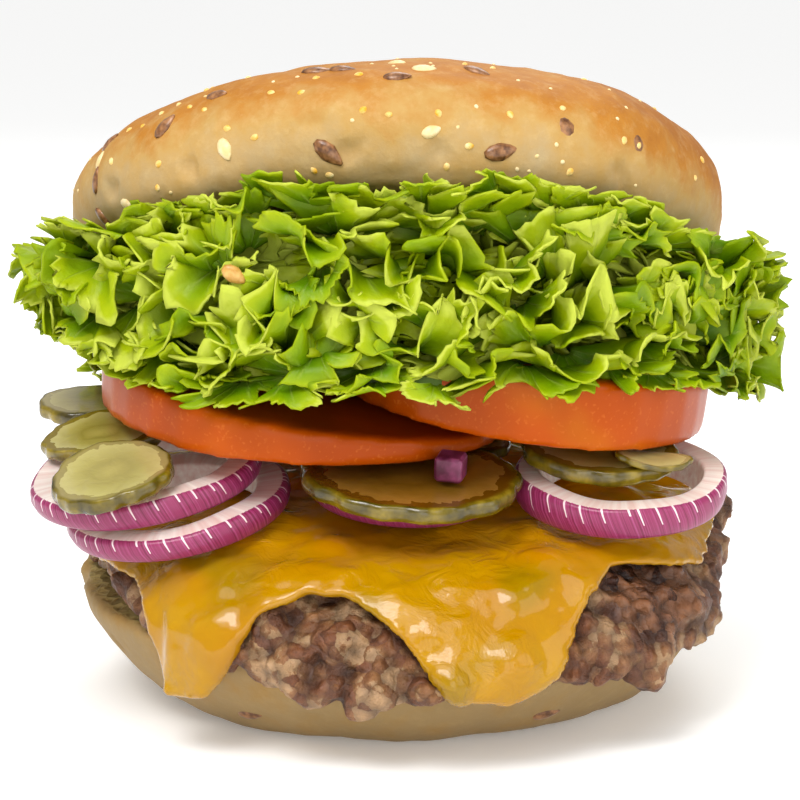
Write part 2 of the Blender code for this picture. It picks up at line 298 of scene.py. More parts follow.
def baked_crust(colours):
    """Bread crust: matt, mottled, golden where the oven reached it and pale at the sides; the heel darkened
    all over with painted shade.
    """
    material, tree, shader = new_material("baked wheat crust")
    where = add(tree, "TexCoord").outputs["Object"]
    bake = add(tree, "Attribute", attribute_name="bake").outputs["Fac"]
    crumb = add(tree, "Attribute", attribute_name="crumb").outputs["Fac"]
    mottle = add(tree, "TexNoise", {"Vector": where, "Scale": 140.0, "Detail": 6.0, "Roughness": 0.6})
    flour = add(tree, "TexNoise", {"Vector": where, "Scale": 420.0, "Detail": 4.0, "Roughness": 0.7})
    uneven = add(tree, "MapRange", {"Value": mottle.outputs["Fac"], "From Min": 0.3, "From Max": 0.7,
                                    "To Min": -0.2, "To Max": 0.2})
    browned = add(tree, "Math", {0: bake, 1: uneven.outputs["Result"]}, operation="ADD")
    crust = shades(tree, browned.outputs[0], (0.0, colours.crust_pale), (0.38, "#B99354"),
                   (0.7, colours.crust_gold), (1.0, "#A26524"))
    dust = add(tree, "MapRange", {"Value": flour.outputs["Fac"], "From Min": 0.5, "From Max": 0.72,
                                  "To Min": 0.0, "To Max": 0.2})
    dusted = add(tree, "MixRGB", {"Fac": dust.outputs["Result"], "Color1": crust,
                                  "Color2": linear("#D8BC88")})
    # The crumb's colour, darker in its pores: painted shade in the holes, over the toasted crumb.
    pores = add(tree, "TexVoronoi", {"Vector": where, "Scale": 520.0})
    toast = shades(tree, pores.outputs["Distance"], (0.05, "#6E5426"), (0.45, colours.crumb))
    # Painted shade: the tone attribute multiplies the heel's whole crust darker, for the heel lies in shadow
    # under the burger.
    tone = add(tree, "Attribute", attribute_name="tone").outputs["Fac"]
    dulled = add(tree, "MixRGB", {"Fac": tone, "Color1": dusted.outputs[0], "Color2": linear("#D8D2C4")},
                 blend_type="MULTIPLY")
    colour = add(tree, "MixRGB", {"Fac": crumb, "Color1": dulled.outputs[0], "Color2": toast})
    tree.links.new(colour.outputs[0], shader.inputs["Base Color"])
    skin = add(tree, "Bump", {"Height": flour.outputs["Fac"], "Strength": 0.35, "Distance": 0.0005})
    holes = add(tree, "Bump", {"Height": pores.outputs["Distance"], "Strength": crumb,
                               "Distance": 0.0012, "Normal": skin.outputs[0]})
    tree.links.new(holes.outputs[0], shader.inputs["Normal"])
    shader.inputs["Roughness"].default_value = 0.62
    shader.inputs["Specular IOR Level"].default_value = 0.18
    return material


def cut_face(node, facing):
    """A point on a bun half's cut face and the direction from it into the bread."""
    mesh = copy_and_drop(node).data
    level = [face for face in mesh.polygons if face.normal.z * facing > 0.7]
    total = sum((face.normal * face.area for face in level), Vector())
    area = sum(face.area for face in level)
    middle = sum((face.center * face.area for face in level), Vector()) / area
    return middle / MM, -total.normalized()


def bun_half(node, facing, grain, material):
    """A finer half of the bun, from its CAD solid: risen, uneven and creased."""
    bun = copy_of(node, node + "_baked")
    modify(bun, "REMESH", mode="VOXEL", voxel_size=grain * MM)
    move_to(bun, smoothed(bun, 4))
    middle, inward = cut_face(node, facing)
    places = coordinates(bun)
    out = normals(bun)
    depth = (places - np.array(middle)) @ np.array(inward)
    flat = ramp_between(out @ -np.array(inward), 0.75, 0.95) * ramp_between(-depth, -3.0, -0.6)
    swell = 1.1 * noise_at(places, 24, 1) + 0.5 * noise_at(places, 9, 2) + 0.16 * noise_at(places, 3, 3)
    around = np.arctan2(places[:, 1], places[:, 0])
    creases = noise_at(np.stack([around * 14, depth * 0.25, 0 * depth], axis=1), 1.6, 4)
    swell -= 1.1 * ramp_between(creases, 0.25, 0.6) * ramp_between(-depth, -18, -4)
    crumbly = 0.7 * noise_at(places, 2.2, 5) + 0.5 * noise_at(places, 5, 6)
    lift = swell * (1 - flat) + (crumbly - 0.6) * flat
    places += out * lift[:, None]
    move_to(bun, places)
    uneven = 0.12 * noise_at(places, 16, 8)
    paint(bun, "crumb", flat)
    # Tone 1 marks the heel for its painted shade; the crown has none.
    paint(bun, "tone", np.full(len(places), 0.0 if node == "bun_crown" else 1.0))
    paint(bun, "bake", np.clip(bake_of(node, depth, out, places) + uneven, 0, 1))
    return finish(bun, material, [node])


def bake_of(node, depth, out, places):
    """How brown the crust is: golden on the crown's top and right, pale at both halves' sides."""
    if node == "bun_crown":
        right = 0.3 * ramp_between(places[:, 0], 20, 58)
        return 0.16 + (0.58 + right) * ramp_between(depth + 14 * right, 4.0, 23.0)
    return 0.0 + 0.12 * ramp_between(out[:, 2], -0.3, 0.3)


def seed_shape(length, width, thick, tip):
    """A seed's vertices and faces: an ellipsoid drawn out to a point at one end."""
    points, faces = ball(2)
    shaped = []
    for p in points:
        narrow = 1 - tip * max(0.0, p.x)
        shaped.append(Vector((p.x * length / 2, p.y * width / 2 * narrow, p.z * thick / 2 * narrow)))
    return shaped, faces


def seed_at(surface, centre, ray, shape, turn, sunk):
    """A seed lying on a surface, where a ray from the middle comes out, turned in its place."""
    points, faces = shape
    spot, up, _, _ = surface.ray_cast(centre * MM + ray * 0.2, -ray)
    if spot is None:
        return None
    side = Vector((0, 0, 1)).cross(up)
    side = side.normalized() if side.length > 0.05 else Vector((1, 0, 0))
    ahead = up.cross(side)
    spin = Matrix.Rotation(turn, 3, up)
    basis = Matrix((spin @ side, spin @ ahead, up)).transposed()
    return [spot + (basis @ p) * MM - up * sunk * MM for p in points], faces


def surface_of(obj):
    graph = bpy.context.evaluated_depsgraph_get()
    return BVHTree.FromObject(obj, graph)


def foremost(pieces, x, z):
    """The foremost point of several pieces at a place across and up in mm, or None."""
    hits = [surface_of(piece).ray_cast(Vector((x, -100.0, z)) * MM, Vector((0, 1, 0)))[0] for piece in pieces]
    return min((hit for hit in hits if hit), key=lambda hit: hit.y, default=None)


def seed_coat(name, base, light, roughness, grain):
    """A seed's hull: smooth, with fine lighter streaks."""
    material, tree, shader = new_material(name)
    where = add(tree, "TexCoord").outputs["Object"]
    streaks = add(tree, "TexNoise", {"Vector": where, "Scale": grain, "Detail": 3.0})
    colour = shades(tree, streaks.outputs["Fac"], (0.35, base), (0.7, light))
    tree.links.new(colour, shader.inputs["Base Color"])
    shader.inputs["Roughness"].default_value = roughness
    return material


# Sizes of seeds and grains: length, width and thickness in mm, and how far one end is drawn to a point
FLAX = (5.6, 2.9, 1.4, 0.5)
BAKED_IN = (5.4, 4.2, 2.0, 0.3)
SESAME = (4.2, 2.6, 1.2, 0.4)
GRIT = (1.5, 1.2, 0.9, 0.3)
FLOUR = (0.8, 0.7, 0.5, 0.1)
GOLDEN = (4.6, 2.9, 1.4, 0.4)
BACK = (-0.4, 3.4)  # round the bun's back, in radians
ALL_ROUND = (0, 6.28)

# Where the front's seeds lie, judged in tenths: across the bun from its left (-1) to its right (1),
# up it from its widest line (0) to its crest (1); then the seed's turn in degrees
CREST = 0.6  # how far above the bun's middle its crest is seen, in radians
FLAX_PLACES = ((-0.2, 0.4, -40), (0.0, 0.8, 10), (0.3, 0.9, -60), (-0.2, 0.9, 0), (-0.3, 0.9, 10),
               (-0.6, 0.7, 20), (-0.7, 0.5, 60), (-0.9, 0.4, 50), (-0.9, 0.2, 80), (-0.9, 0.0, -60),
               (0.3, 0.4, 10))
SESAME_PLACES = ((0.1, 0.5, 20), (-0.5, 0.4, -60), (-0.9, 0.3, 70), (-0.8, 0.1, -10), (0.1, 0.9, 0),
                 (0.0, 1.0, 40))
GRIT_PLACES = ((-0.4, 0.7, 0), (-0.3, 0.7, 60), (-0.5, 0.5, 0), (-0.7, 0.2, 80), (-0.8, 0.5, 20),
               (0.5, 0.6, 0), (0.7, 0.4, 60), (-0.1, 0.6, 50), (-0.2, 0.3, 0), (-0.6, 0.6, 0))
HEEL_PLACES = ((0.5, -0.3, 5), (-0.5, -0.3, 10))
BAKED_IN_PLACES = ((0.5, 0.5, -50), (0.7, 0.4, -70))


def seeds_on(bun, surface, kind, places, scatter, count, seed, sizes, sunk, lowest=0.0):
    """Seeds of one kind on a bun half: some at set places, and more strewn over the rest of it."""
    length, width, thick, tip = sizes
    rng = random.Random(seed)
    low = Vector(bun.bound_box[0]) / MM
    high = Vector(bun.bound_box[6]) / MM
    centre = (low + high) / 2
    front = -math.pi / 2
    spots = [(front + math.asin(across), up * CREST, math.radians(turn)) for across, up, turn in places]
    for _ in range(count):
        spots.append((rng.uniform(*scatter), math.asin(rng.uniform(lowest, 1.0)), rng.uniform(0, 6.3)))
    shapes = []
    for around, above, turn in spots:
        ray = Vector((math.cos(around) * math.cos(above), math.sin(around) * math.cos(above),
                      math.sin(above)))
        grown = rng.uniform(0.85, 1.1)
        shape = seed_shape(length * grown, width * grown, thick, tip)
        made = seed_at(surface, centre, ray, shape, turn, sunk)
        if made:
            shapes.append(made)
    return joined(shapes, kind)


class BURGER_OT_bun(bpy.types.Operator):
    """Make both halves of the bun, with their crust, crumb, seeds and grits"""

    bl_idname = "burger.bun"
    bl_label = "Bun"

    def execute(self, context):
        colours = context.scene.burger_colours
        crust = baked_crust(colours)
        heel = bun_half("bun_heel", 1, 1.2, crust)
        crown = bun_half("bun_crown", -1, 1.0, crust)
        top = surface_of(crown)
        flax = seed_coat("flax seed hull", colours.flax, "#A9764A", 0.3, 900.0)
        sesame = seed_coat("hulled sesame", colours.sesame, "#F1DDAE", 0.45, 700.0)
        grits = seed_coat("maize grit", "#E3A91F", "#F2DDA0", 0.5, 500.0)
        made = seeds_on(crown, top, "flax_seeds", FLAX_PLACES, BACK, 18, 4, FLAX, 0.1)
        finish(made, flax)
        foot = surface_of(heel)
        made = seeds_on(heel, foot, "heel_flax_seeds", HEEL_PLACES, BACK, 4, 9, FLAX, 0.2, -0.4)
        finish(made, flax)
        made = seeds_on(crown, top, "baked_in_seeds", BAKED_IN_PLACES, BACK, 3, 8, BAKED_IN, 0.75)
        finish(made, flax)
        made = seeds_on(crown, top, "sesame_seeds", SESAME_PLACES, BACK, 16, 5, SESAME, 0.1)
        finish(made, sesame)
        made = seeds_on(crown, top, "maize_grits", GRIT_PLACES, ALL_ROUND, 90, 6, GRIT, 0.1, 0.1)
        finish(made, grits, smooth=False)
        made = seeds_on(crown, top, "flour_grains", (), ALL_ROUND, 160, 7, FLOUR, 0.05, 0.05)
        finish(made, sesame, smooth=False)
        return {"FINISHED"}


# The patty: coarse minced beef, fried


def fried_mince(colours):
    """Fried minced beef: pinkish brown crumbs, dark and glossy with fat where it was seared, with painted
    shade in its crevices and between its crumbs.
    """
    material, tree, shader = new_material("fried minced beef")
    where = add(tree, "TexCoord").outputs["Object"]
    seared = add(tree, "Attribute", attribute_name="seared").outputs["Fac"]
    crevice = add(tree, "Attribute", attribute_name="relief").outputs["Fac"]
    grain = add(tree, "TexNoise", {"Vector": where, "Scale": 380.0, "Detail": 6.0, "Roughness": 0.65})
    patches = add(tree, "TexNoise", {"Vector": where, "Scale": 110.0, "Detail": 3.0})
    shift = add(tree, "VectorMath", {0: grain.outputs["Color"], 1: (0.0016, 0.0016, 0.0016)},
                operation="MULTIPLY")
    bent = add(tree, "VectorMath", {0: where, 1: shift.outputs[0]}, operation="ADD")
    crumbs = add(tree, "TexVoronoi", {"Vector": bent.outputs[0], "Scale": 360.0})
    tone = add(tree, "SeparateColor", {"Color": crumbs.outputs["Color"]})
    varied = add(tree, "Math", {0: tone.outputs[0], 1: 0.3, 2: patches.outputs["Fac"]},
                 operation="MULTIPLY_ADD")
    mixed = add(tree, "Math", {0: grain.outputs["Fac"], 1: 0.5, 2: varied.outputs[0]},
                operation="MULTIPLY_ADD")
    flesh = shades(tree, mixed.outputs[0], (0.5, "#3E1D0A"), (0.8, colours.beef), (0.98, "#96683F"),
                   (1.0, "#B08A62"))
    crust = shades(tree, mixed.outputs[0], (0.5, "#23120A"), (0.75, colours.seared), (1.0, "#8A5A3A"))
    meat = add(tree, "MixRGB", {"Fac": seared, "Color1": flesh, "Color2": crust})
    # Painted shade: darker where the surface sinks below its smoothed shape, and in the gaps between crumbs.
    deep = add(tree, "MapRange", {"Value": crevice, "From Min": -1.1, "From Max": 0.3,
                                  "To Min": 0.22, "To Max": 1.0})
    gaps = add(tree, "MapRange", {"Value": crumbs.outputs["Distance"], "From Min": 0.35, "From Max": 0.8,
                                  "To Min": 1.0, "To Max": 0.5})
    dark = add(tree, "Math", {0: deep.outputs[0], 1: gaps.outputs[0]}, operation="MULTIPLY")
    shaded = add(tree, "MixRGB", {"Fac": 1.0, "Color1": meat.outputs[0], "Color2": dark.outputs[0]},
                 blend_type="MULTIPLY")
    tree.links.new(shaded.outputs[0], shader.inputs["Base Color"])
    rounded = add(tree, "Math", {0: grain.outputs["Fac"], 1: crumbs.outputs["Distance"]},
                  operation="SUBTRACT")
    bump = add(tree, "Bump", {"Height": rounded.outputs[0], "Strength": 1.0, "Distance": 0.0016})
    tree.links.new(bump.outputs[0], shader.inputs["Normal"])
    fat = add(tree, "MapRange", {"Value": grain.outputs["Fac"], "To Min": 0.3, "To Max": 0.62})
    wet = add(tree, "MixRGB", {"Fac": seared, "Color1": fat.outputs[0], "Color2": (0.24, 0.24, 0.24, 1)})
    tree.links.new(wet.outputs[0], shader.inputs["Roughness"])
    shader.inputs["Specular IOR Level"].default_value = 0.55
    return material


def minced(node, lumps, size):
    """The patty's solid, drawn in a little and covered in lumps of mince, as one skin."""
    patty = copy_of(node, "beef_patty_minced")
    modify(patty, "REMESH", mode="VOXEL", voxel_size=2 * MM)
    move_to(patty, coordinates(patty) - normals(patty) * 1.6)
    rng = random.Random(11)
    faces = list(patty.data.polygons)
    weights = [face.area * (1.0 if face.normal.z < 0.85 else 0.25) for face in faces]
    points, polygons = ball(2)
    rough = [p * (1 + 0.22 * noise.noise(p * 1.7)) for p in points]
    shapes = []
    for number in range(lumps):
        face = rng.choices(faces, weights)[0]
        radius = size * (rng.uniform(1.4, 2.3) if number % 9 == 0 else rng.uniform(0.6, 1.25)) * MM
        spot = face.center - face.normal * radius * rng.uniform(0.0, 0.5)
        stretch = Matrix.Diagonal((radius, radius * rng.uniform(0.6, 0.9), radius * rng.uniform(1.0, 1.5)))
        turn = Vector((rng.gauss(0, 1), rng.gauss(0, 1), rng.gauss(0, 1))).to_track_quat("Z", "Y").to_matrix()
        shapes.append(([spot + turn @ (stretch @ p) for p in rough], polygons))
    crumbs = joined(shapes, "crumbs")
    make_active(patty)
    crumbs.select_set(True)
    bpy.ops.object.join()
    modify(patty, "REMESH", mode="VOXEL", voxel_size=0.72 * MM)
    return patty


class BURGER_OT_patty(bpy.types.Operator):
    """Make the beef patty, crumbly at its edge and seared on top"""

    bl_idname = "burger.patty"
    bl_label = "Beef patty"

    def execute(self, context):
        colours = context.scene.burger_colours
        sizes = context.scene.burger_sizes
        patty = minced("beef_patty", 3600, sizes.mince / MM)
        places = coordinates(patty)
        out = normals(patty)
        rough = 0.35 * noise_at(places, 3.0, 1) + 0.3 * noise_at(places, 1.3, 2)
        places += out * rough[:, None]
        move_to(patty, places)
        # The relief darkens the crevices in the material: painted shade.
        paint(patty, "relief", relief(patty, 20))
        radius = np.hypot(places[:, 0], places[:, 1])
        top = places[:, 2] + 0.105 * places[:, 1] - 23.0
        seared = 0.9 * ramp_between(top + 2.5 * noise_at(places, 9, 4), 6.0, 11.0)
        patch = np.linalg.norm(places - np.array([45.0, -45.0, 30.0]), axis=1)
        seared = np.maximum(seared, ramp_between(-patch + 3 * noise_at(places, 6, 5), -15, -9))
        seared = np.maximum(seared, ramp_between(-radius, -52, -46))
        paint(patty, "seared", seared)
        finish(patty, fried_mince(colours), ["beef_patty"])
        return {"FINISHED"}


# The cheese: a slice of cheddar, melted


def melted_cheddar(colours):
    """Melted cheddar: opaque, waxy, glossy with fat; light comes a little way through it."""
    material, tree, shader = new_material("melted cheddar")
    where = add(tree, "TexCoord").outputs["Object"]
    cloud = add(tree, "TexNoise", {"Vector": where, "Scale": 60.0, "Detail": 3.0})
    thin = add(tree, "Attribute", attribute_name="thin").outputs["Fac"]
    body = shades(tree, cloud.outputs["Fac"], (0.35, "#BC7800"), (0.6, colours.cheese), (0.8, "#CC9A10"))
    colour = add(tree, "MixRGB", {"Fac": thin, "Color1": body, "Color2": linear("#987400")})
    tree.links.new(colour.outputs[0], shader.inputs["Base Color"])
    wrinkle = add(tree, "TexNoise", {"Vector": where, "Scale": 190.0, "Detail": 3.0, "Distortion": 2.0})
    patchy = add(tree, "TexNoise", {"Vector": where, "Scale": 55.0, "Detail": 1.0})
    where_fine = add(tree, "MapRange", {"Value": patchy.outputs["Fac"], "From Min": 0.4, "From Max": 0.65,
                                        "To Min": 0.1, "To Max": 0.75})
    bump = add(tree, "Bump", {"Height": wrinkle.outputs["Fac"], "Strength": where_fine.outputs[0],
                              "Distance": 0.0011})
    tree.links.new(bump.outputs[0], shader.inputs["Normal"])
    shader.inputs["Roughness"].default_value = 0.16
    shader.inputs["Specular IOR Level"].default_value = 0.15
    shader.inputs["Subsurface Weight"].default_value = 0.08
    shader.inputs["Subsurface Radius"].default_value = (0.003, 0.002, 0.0003)
    shader.inputs["Subsurface Scale"].default_value = 1.0
    shader.inputs["Coat Weight"].default_value = 0.5
    shader.inputs["Coat Roughness"].default_value = 0.03
    return material


class BURGER_OT_cheese(bpy.types.Operator):
    """Make the melted cheese slice, sunk onto the patty and wrinkled where it runs"""

    bl_idname = "burger.cheese"
    bl_label = "Melted cheese"

    def execute(self, context):
        colours = context.scene.burger_colours
        cheese = copy_of("cheese_slice", "cheese_slice_melted")
        modify(cheese, "REMESH", mode="VOXEL", voxel_size=0.7 * MM)
        patty = surface_of(bpy.data.objects["beef_patty_minced"])
        places = coordinates(cheese)
        out = normals(cheese)
        shift = np.zeros(len(places))
        for i, (place, normal) in enumerate(zip(places, out)):
            spot, _, _, distance = patty.find_nearest(Vector(place) * MM)
            away = Vector(place) * MM - spot
            upper = away.dot(Vector(normal)) > 0
            wanted = 2.0 if upper else 0.1
            shift[i] = (wanted - distance / MM) * (1 if upper else -1)
        shift = np.clip(shift, -2.2, 2.2)
        places += out * shift[:, None] * 0.8
        move_to(cheese, places)
        move_to(cheese, smoothed(cheese, 9))
        places = coordinates(cheese)
        out = normals(cheese)
        fold = 0.35 * noise_at(places * np.array([1, 1, 0.35]), 5, 2) + 0.6 * noise_at(places, 11, 3)
        fold += 0.25 * noise_at(places, 2.6, 4)
        side = ramp_between(-places[:, 2], -38, -30)
        hanging = 1.1 * ramp_between(-places[:, 2], -27, -15)
        places += out * (fold * (0.25 + 0.75 * side) + hanging)[:, None]
        move_to(cheese, places)
        paint(cheese, "thin", side * (0.5 + 0.5 * ramp_between(noise_at(places, 14, 5), 0.1, 0.5)))
        finish(cheese, melted_cheddar(colours), ["cheese_slice"])
        return {"FINISHED"}


# The onion: rings of a red onion, sliced raw


def raw_onion(colours):
    """Raw red onion: wet and a little see-through, purple outside and white where it is cut."""
    material, tree, shader = new_material("raw red onion")
    uv = add(tree, "UVMap", uv_map="around").outputs["UV"]
    parts = add(tree, "SeparateXYZ", {"Vector": uv})
    skin = add(tree, "Attribute", attribute_name="skin").outputs["Fac"]
    slanted = add(tree, "Math", {0: parts.outputs["Y"], 1: 0.35, 2: parts.outputs["X"]},
                  operation="MULTIPLY_ADD")
    fibre = add(tree, "TexNoise", {"W": slanted.outputs[0], "Scale": 2.4, "Detail": 3.0},
                noise_dimensions="1D")
    flesh = add(tree, "TexNoise", {"Vector": uv, "Scale": 0.6, "Detail": 3.0})
    purple = shades(tree, fibre.outputs["Fac"], (0.3, "#741A40"), (0.55, colours.onion_skin),
                    (0.85, "#AE5587"))
    nick = add(tree, "TexVoronoi", {"W": slanted.outputs[0], "Scale": 0.3}, voronoi_dimensions="1D")
    height = add(tree, "Attribute", attribute_name="height").outputs["Fac"]
    taper = add(tree, "MapRange", {"Value": height, "From Min": 0.3, "To Min": 0.012, "To Max": 0.06})
    edge = add(tree, "Math", {0: taper.outputs[0], 1: nick.outputs["Distance"]}, operation="SUBTRACT")
    line = add(tree, "MapRange", {"Value": edge.outputs[0], "From Min": -0.012, "From Max": 0.012})
    reach = add(tree, "SeparateColor", {"Color": nick.outputs["Color"]})
    deep = add(tree, "MapRange", {"Value": reach.outputs[0], "To Min": 0.35, "To Max": 0.95})
    above = add(tree, "Math", {0: height, 1: deep.outputs[0]}, operation="GREATER_THAN")
    nicked = add(tree, "Math", {0: line.outputs[0], 1: above.outputs[0]}, operation="MULTIPLY")
    outside = add(tree, "MixRGB", {"Fac": nicked.outputs[0], "Color1": purple,
                                   "Color2": linear("#EBD3D6")})
    ragged = add(tree, "Math", {0: fibre.outputs["Fac"], 1: 0.5, 2: skin}, operation="MULTIPLY_ADD")
    mask = add(tree, "MapRange", {"Value": ragged.outputs[0], "From Min": 0.68, "From Max": 0.8})
    inside = shades(tree, flesh.outputs["Fac"], (0.3, "#D9B7AE"), (0.6, colours.onion_flesh),
                    (0.8, "#F6ECE4"))
    colour = add(tree, "MixRGB", {"Fac": mask.outputs[0], "Color1": inside, "Color2": outside.outputs[0]})
    tree.links.new(colour.outputs[0], shader.inputs["Base Color"])
    bump = add(tree, "Bump", {"Height": fibre.outputs["Fac"], "Strength": 0.12, "Distance": 0.0004})
    tree.links.new(bump.outputs[0], shader.inputs["Normal"])
    shader.inputs["Roughness"].default_value = 0.3
    shader.inputs["Subsurface Weight"].default_value = 0.15
    shader.inputs["Subsurface Radius"].default_value = (0.003, 0.0015, 0.0015)
    shader.inputs["Subsurface Scale"].default_value = 1.0
    return material


def loop_mesh(name, places, masks, uv=None):
    """A closed ring of sections as a mesh: places[around][along], each row one section."""
    turns, steps = places.shape[:2]
    faces = []
    for i in range(turns):
        for j in range(steps):
            k, m = (i + 1) % turns, (j + 1) % steps
            faces.append((i * steps + j, i * steps + m, k * steps + m, k * steps + j))
    mesh = bpy.data.meshes.new(name)
    mesh.from_pydata((places.reshape(-1, 3) * MM).tolist(), [], faces)
    obj = bpy.data.objects.new(name, mesh)
    bpy.context.scene.collection.objects.link(obj)
    for key, values in masks.items():
        paint(obj, key, values.ravel())
    if uv is not None:
        layer = mesh.uv_layers.new(name="around")
        width = uv[-1, 0, 0] + uv[1, 0, 0] - uv[0, 0, 0]
        for face in mesh.polygons:
            for corner in face.loop_indices:
                vertex = mesh.loops[corner].vertex_index
                across, up = uv.reshape(-1, 2)[vertex]
                if face.index // steps == turns - 1 and vertex // steps == 0:
                    across += width
                layer.data[corner].uv = (across, up)
    shape = bmesh.new()
    shape.from_mesh(mesh)
    bmesh.ops.recalc_face_normals(shape, faces=shape.faces)
    shape.to_mesh(mesh)
    shape.free()
    return obj


def onion_ring(node, wall, seed):
    """One layer of a sliced onion: a curved wall, cut flat above and below."""
    disc = Disc(node)
    turns, steps = 180, 28
    wide, deep, tall = disc.half
    rng = random.Random(seed)
    lobe = [rng.uniform(-1, 1) for _ in range(4)]
    around = np.linspace(0, 2 * math.pi, turns, endpoint=False)[:, None]
    along = np.linspace(0, 2 * math.pi, steps, endpoint=False)[None, :]
    square = 0.32
    across = np.sign(np.cos(along)) * np.abs(np.cos(along)) ** square
    height = np.sign(np.sin(along)) * np.abs(np.sin(along)) ** square
    thick = wall * (1 + 0.10 * lobe[0] * np.sin(around + seed) + 0.06 * lobe[1] * np.sin(3 * around))
    bulge = 0.5 * (1 - height**2)
    radius = 1 + 0.012 * lobe[2] * np.sin(2 * around + seed) + 0.008 * lobe[3] * np.sin(5 * around)
    inward = (1 - across) * thick / 2 - bulge * 0.7 + 0.5 * (height < 0) * np.abs(height)
    wave = 0.35 * np.sin(2 * around + seed) + 0.2 * np.sin(5 * around + 2 * seed)
    local = np.stack([
        (wide * radius - inward) * np.cos(around),
        (deep * radius - inward) * np.sin(around),
        height * tall * 0.92 + wave * (0.6 + 0.4 * height),
    ], axis=-1)
    skin = ramp_between(across + 0 * around, 0.55, 0.95)
    up = (height + 1) / 2 + 0 * around
    uv = np.stack([around * wide + 0 * along, (height * tall) + 0 * around], axis=-1)
    places = disc.out(local.reshape(-1, 3)).reshape(local.shape)
    return loop_mesh(node + "_cut", places, {"skin": skin, "height": up}, uv)


class BURGER_OT_onions(bpy.types.Operator):
    """Make the rings of red onion and the small piece on the middle pickle"""

    bl_idname = "burger.onions"
    bl_label = "Red onion"

    def execute(self, context):
        colours = context.scene.burger_colours
        material = raw_onion(colours)
        walls = {"onion_ring_right": 4.4, "onion_ring_middle": 4.4,
                 "onion_ring_front_left": 5.6, "onion_ring_back_left": 4.9}
        for seed, (node, wall) in enumerate(walls.items()):
            finish(onion_ring(node, wall, seed + 1), material, [node])
        piece = seed_coat("red onion, cut small", "#4E0F2C", "#8A3A62", 0.3, 400.0)
        dice = copy_of("onion_dice", "onion_dice_cut")
        modify(dice, "BEVEL", width=0.0004, segments=2, angle_limit=0.5)
        finish(dice, piece, ["onion_dice"], smooth=False)
        return {"FINISHED"}


# The pickles: cucumber, pickled whole and sliced


def pickled_cucumber(colours):
    """Pickled cucumber: wet, olive and warty outside, pale and watery inside with a seed core."""
    material, tree, shader = new_material("pickled cucumber")
    uv = add(tree, "UVMap", uv_map="slice").outputs["UV"]
    where = add(tree, "TexCoord").outputs["Object"]
    skin = add(tree, "Attribute", attribute_name="skin").outputs["Fac"]
    rind = add(tree, "TexNoise", {"Vector": where, "Scale": 260.0, "Detail": 3.0})
    peel = shades(tree, rind.outputs["Fac"], (0.32, "#3E3505"), (0.52, colours.pickle_skin),
                  (0.75, "#9A8420"))
    radius = add(tree, "VectorMath", {0: uv}, operation="LENGTH").outputs["Value"]
    watery = add(tree, "TexNoise", {"Vector": where, "Scale": 320.0, "Detail": 3.0, "Distortion": 0.5})
    rings = add(tree, "Math", {0: watery.outputs["Fac"], 1: 0.35, 2: radius}, operation="MULTIPLY_ADD")
    flesh = shades(tree, rings.outputs[0], (0.2, "#A99A4E"), (0.5, "#8F8238"), (0.72, colours.pickle_flesh),
                   (1.0, "#B7AC6A"), (1.12, "#7C6A1C"))
    # The pale attribute tints each slice's flesh: at 0 warmer and darker, painted reflected light and shade
    # on the middle slice; towards 1 washed paler.
    pale = add(tree, "Attribute", attribute_name="pale").outputs["Fac"]
    tint = shades(tree, pale, (0.0, "#C89A66"), (0.5, "#FFFFFF"), (1.0, "#FFFBEA"))
    tinted = add(tree, "MixRGB", {"Fac": 1.0, "Color1": flesh, "Color2": tint}, blend_type="MULTIPLY")
    washed = add(tree, "MapRange", {"Value": pale, "From Min": 0.5, "From Max": 1.0, "To Max": 0.55})
    bleached = add(tree, "MixRGB", {"Fac": washed.outputs[0], "Color1": tinted.outputs[0],
                                    "Color2": linear("#BDB284")})
    colour = add(tree, "MixRGB", {"Fac": skin, "Color1": bleached.outputs[0], "Color2": peel})
    tree.links.new(colour.outputs[0], shader.inputs["Base Color"])
    bump = add(tree, "Bump", {"Height": watery.outputs["Fac"], "Strength": 0.3, "Distance": 0.0006})
    tree.links.new(bump.outputs[0], shader.inputs["Normal"])
    shader.inputs["Roughness"].default_value = 0.2
    shader.inputs["Subsurface Weight"].default_value = 0.2
    shader.inputs["Subsurface Radius"].default_value = (0.003, 0.003, 0.001)
    shader.inputs["Subsurface Scale"].default_value = 1.0
    shader.inputs["Coat Weight"].default_value = 0.3
    return material


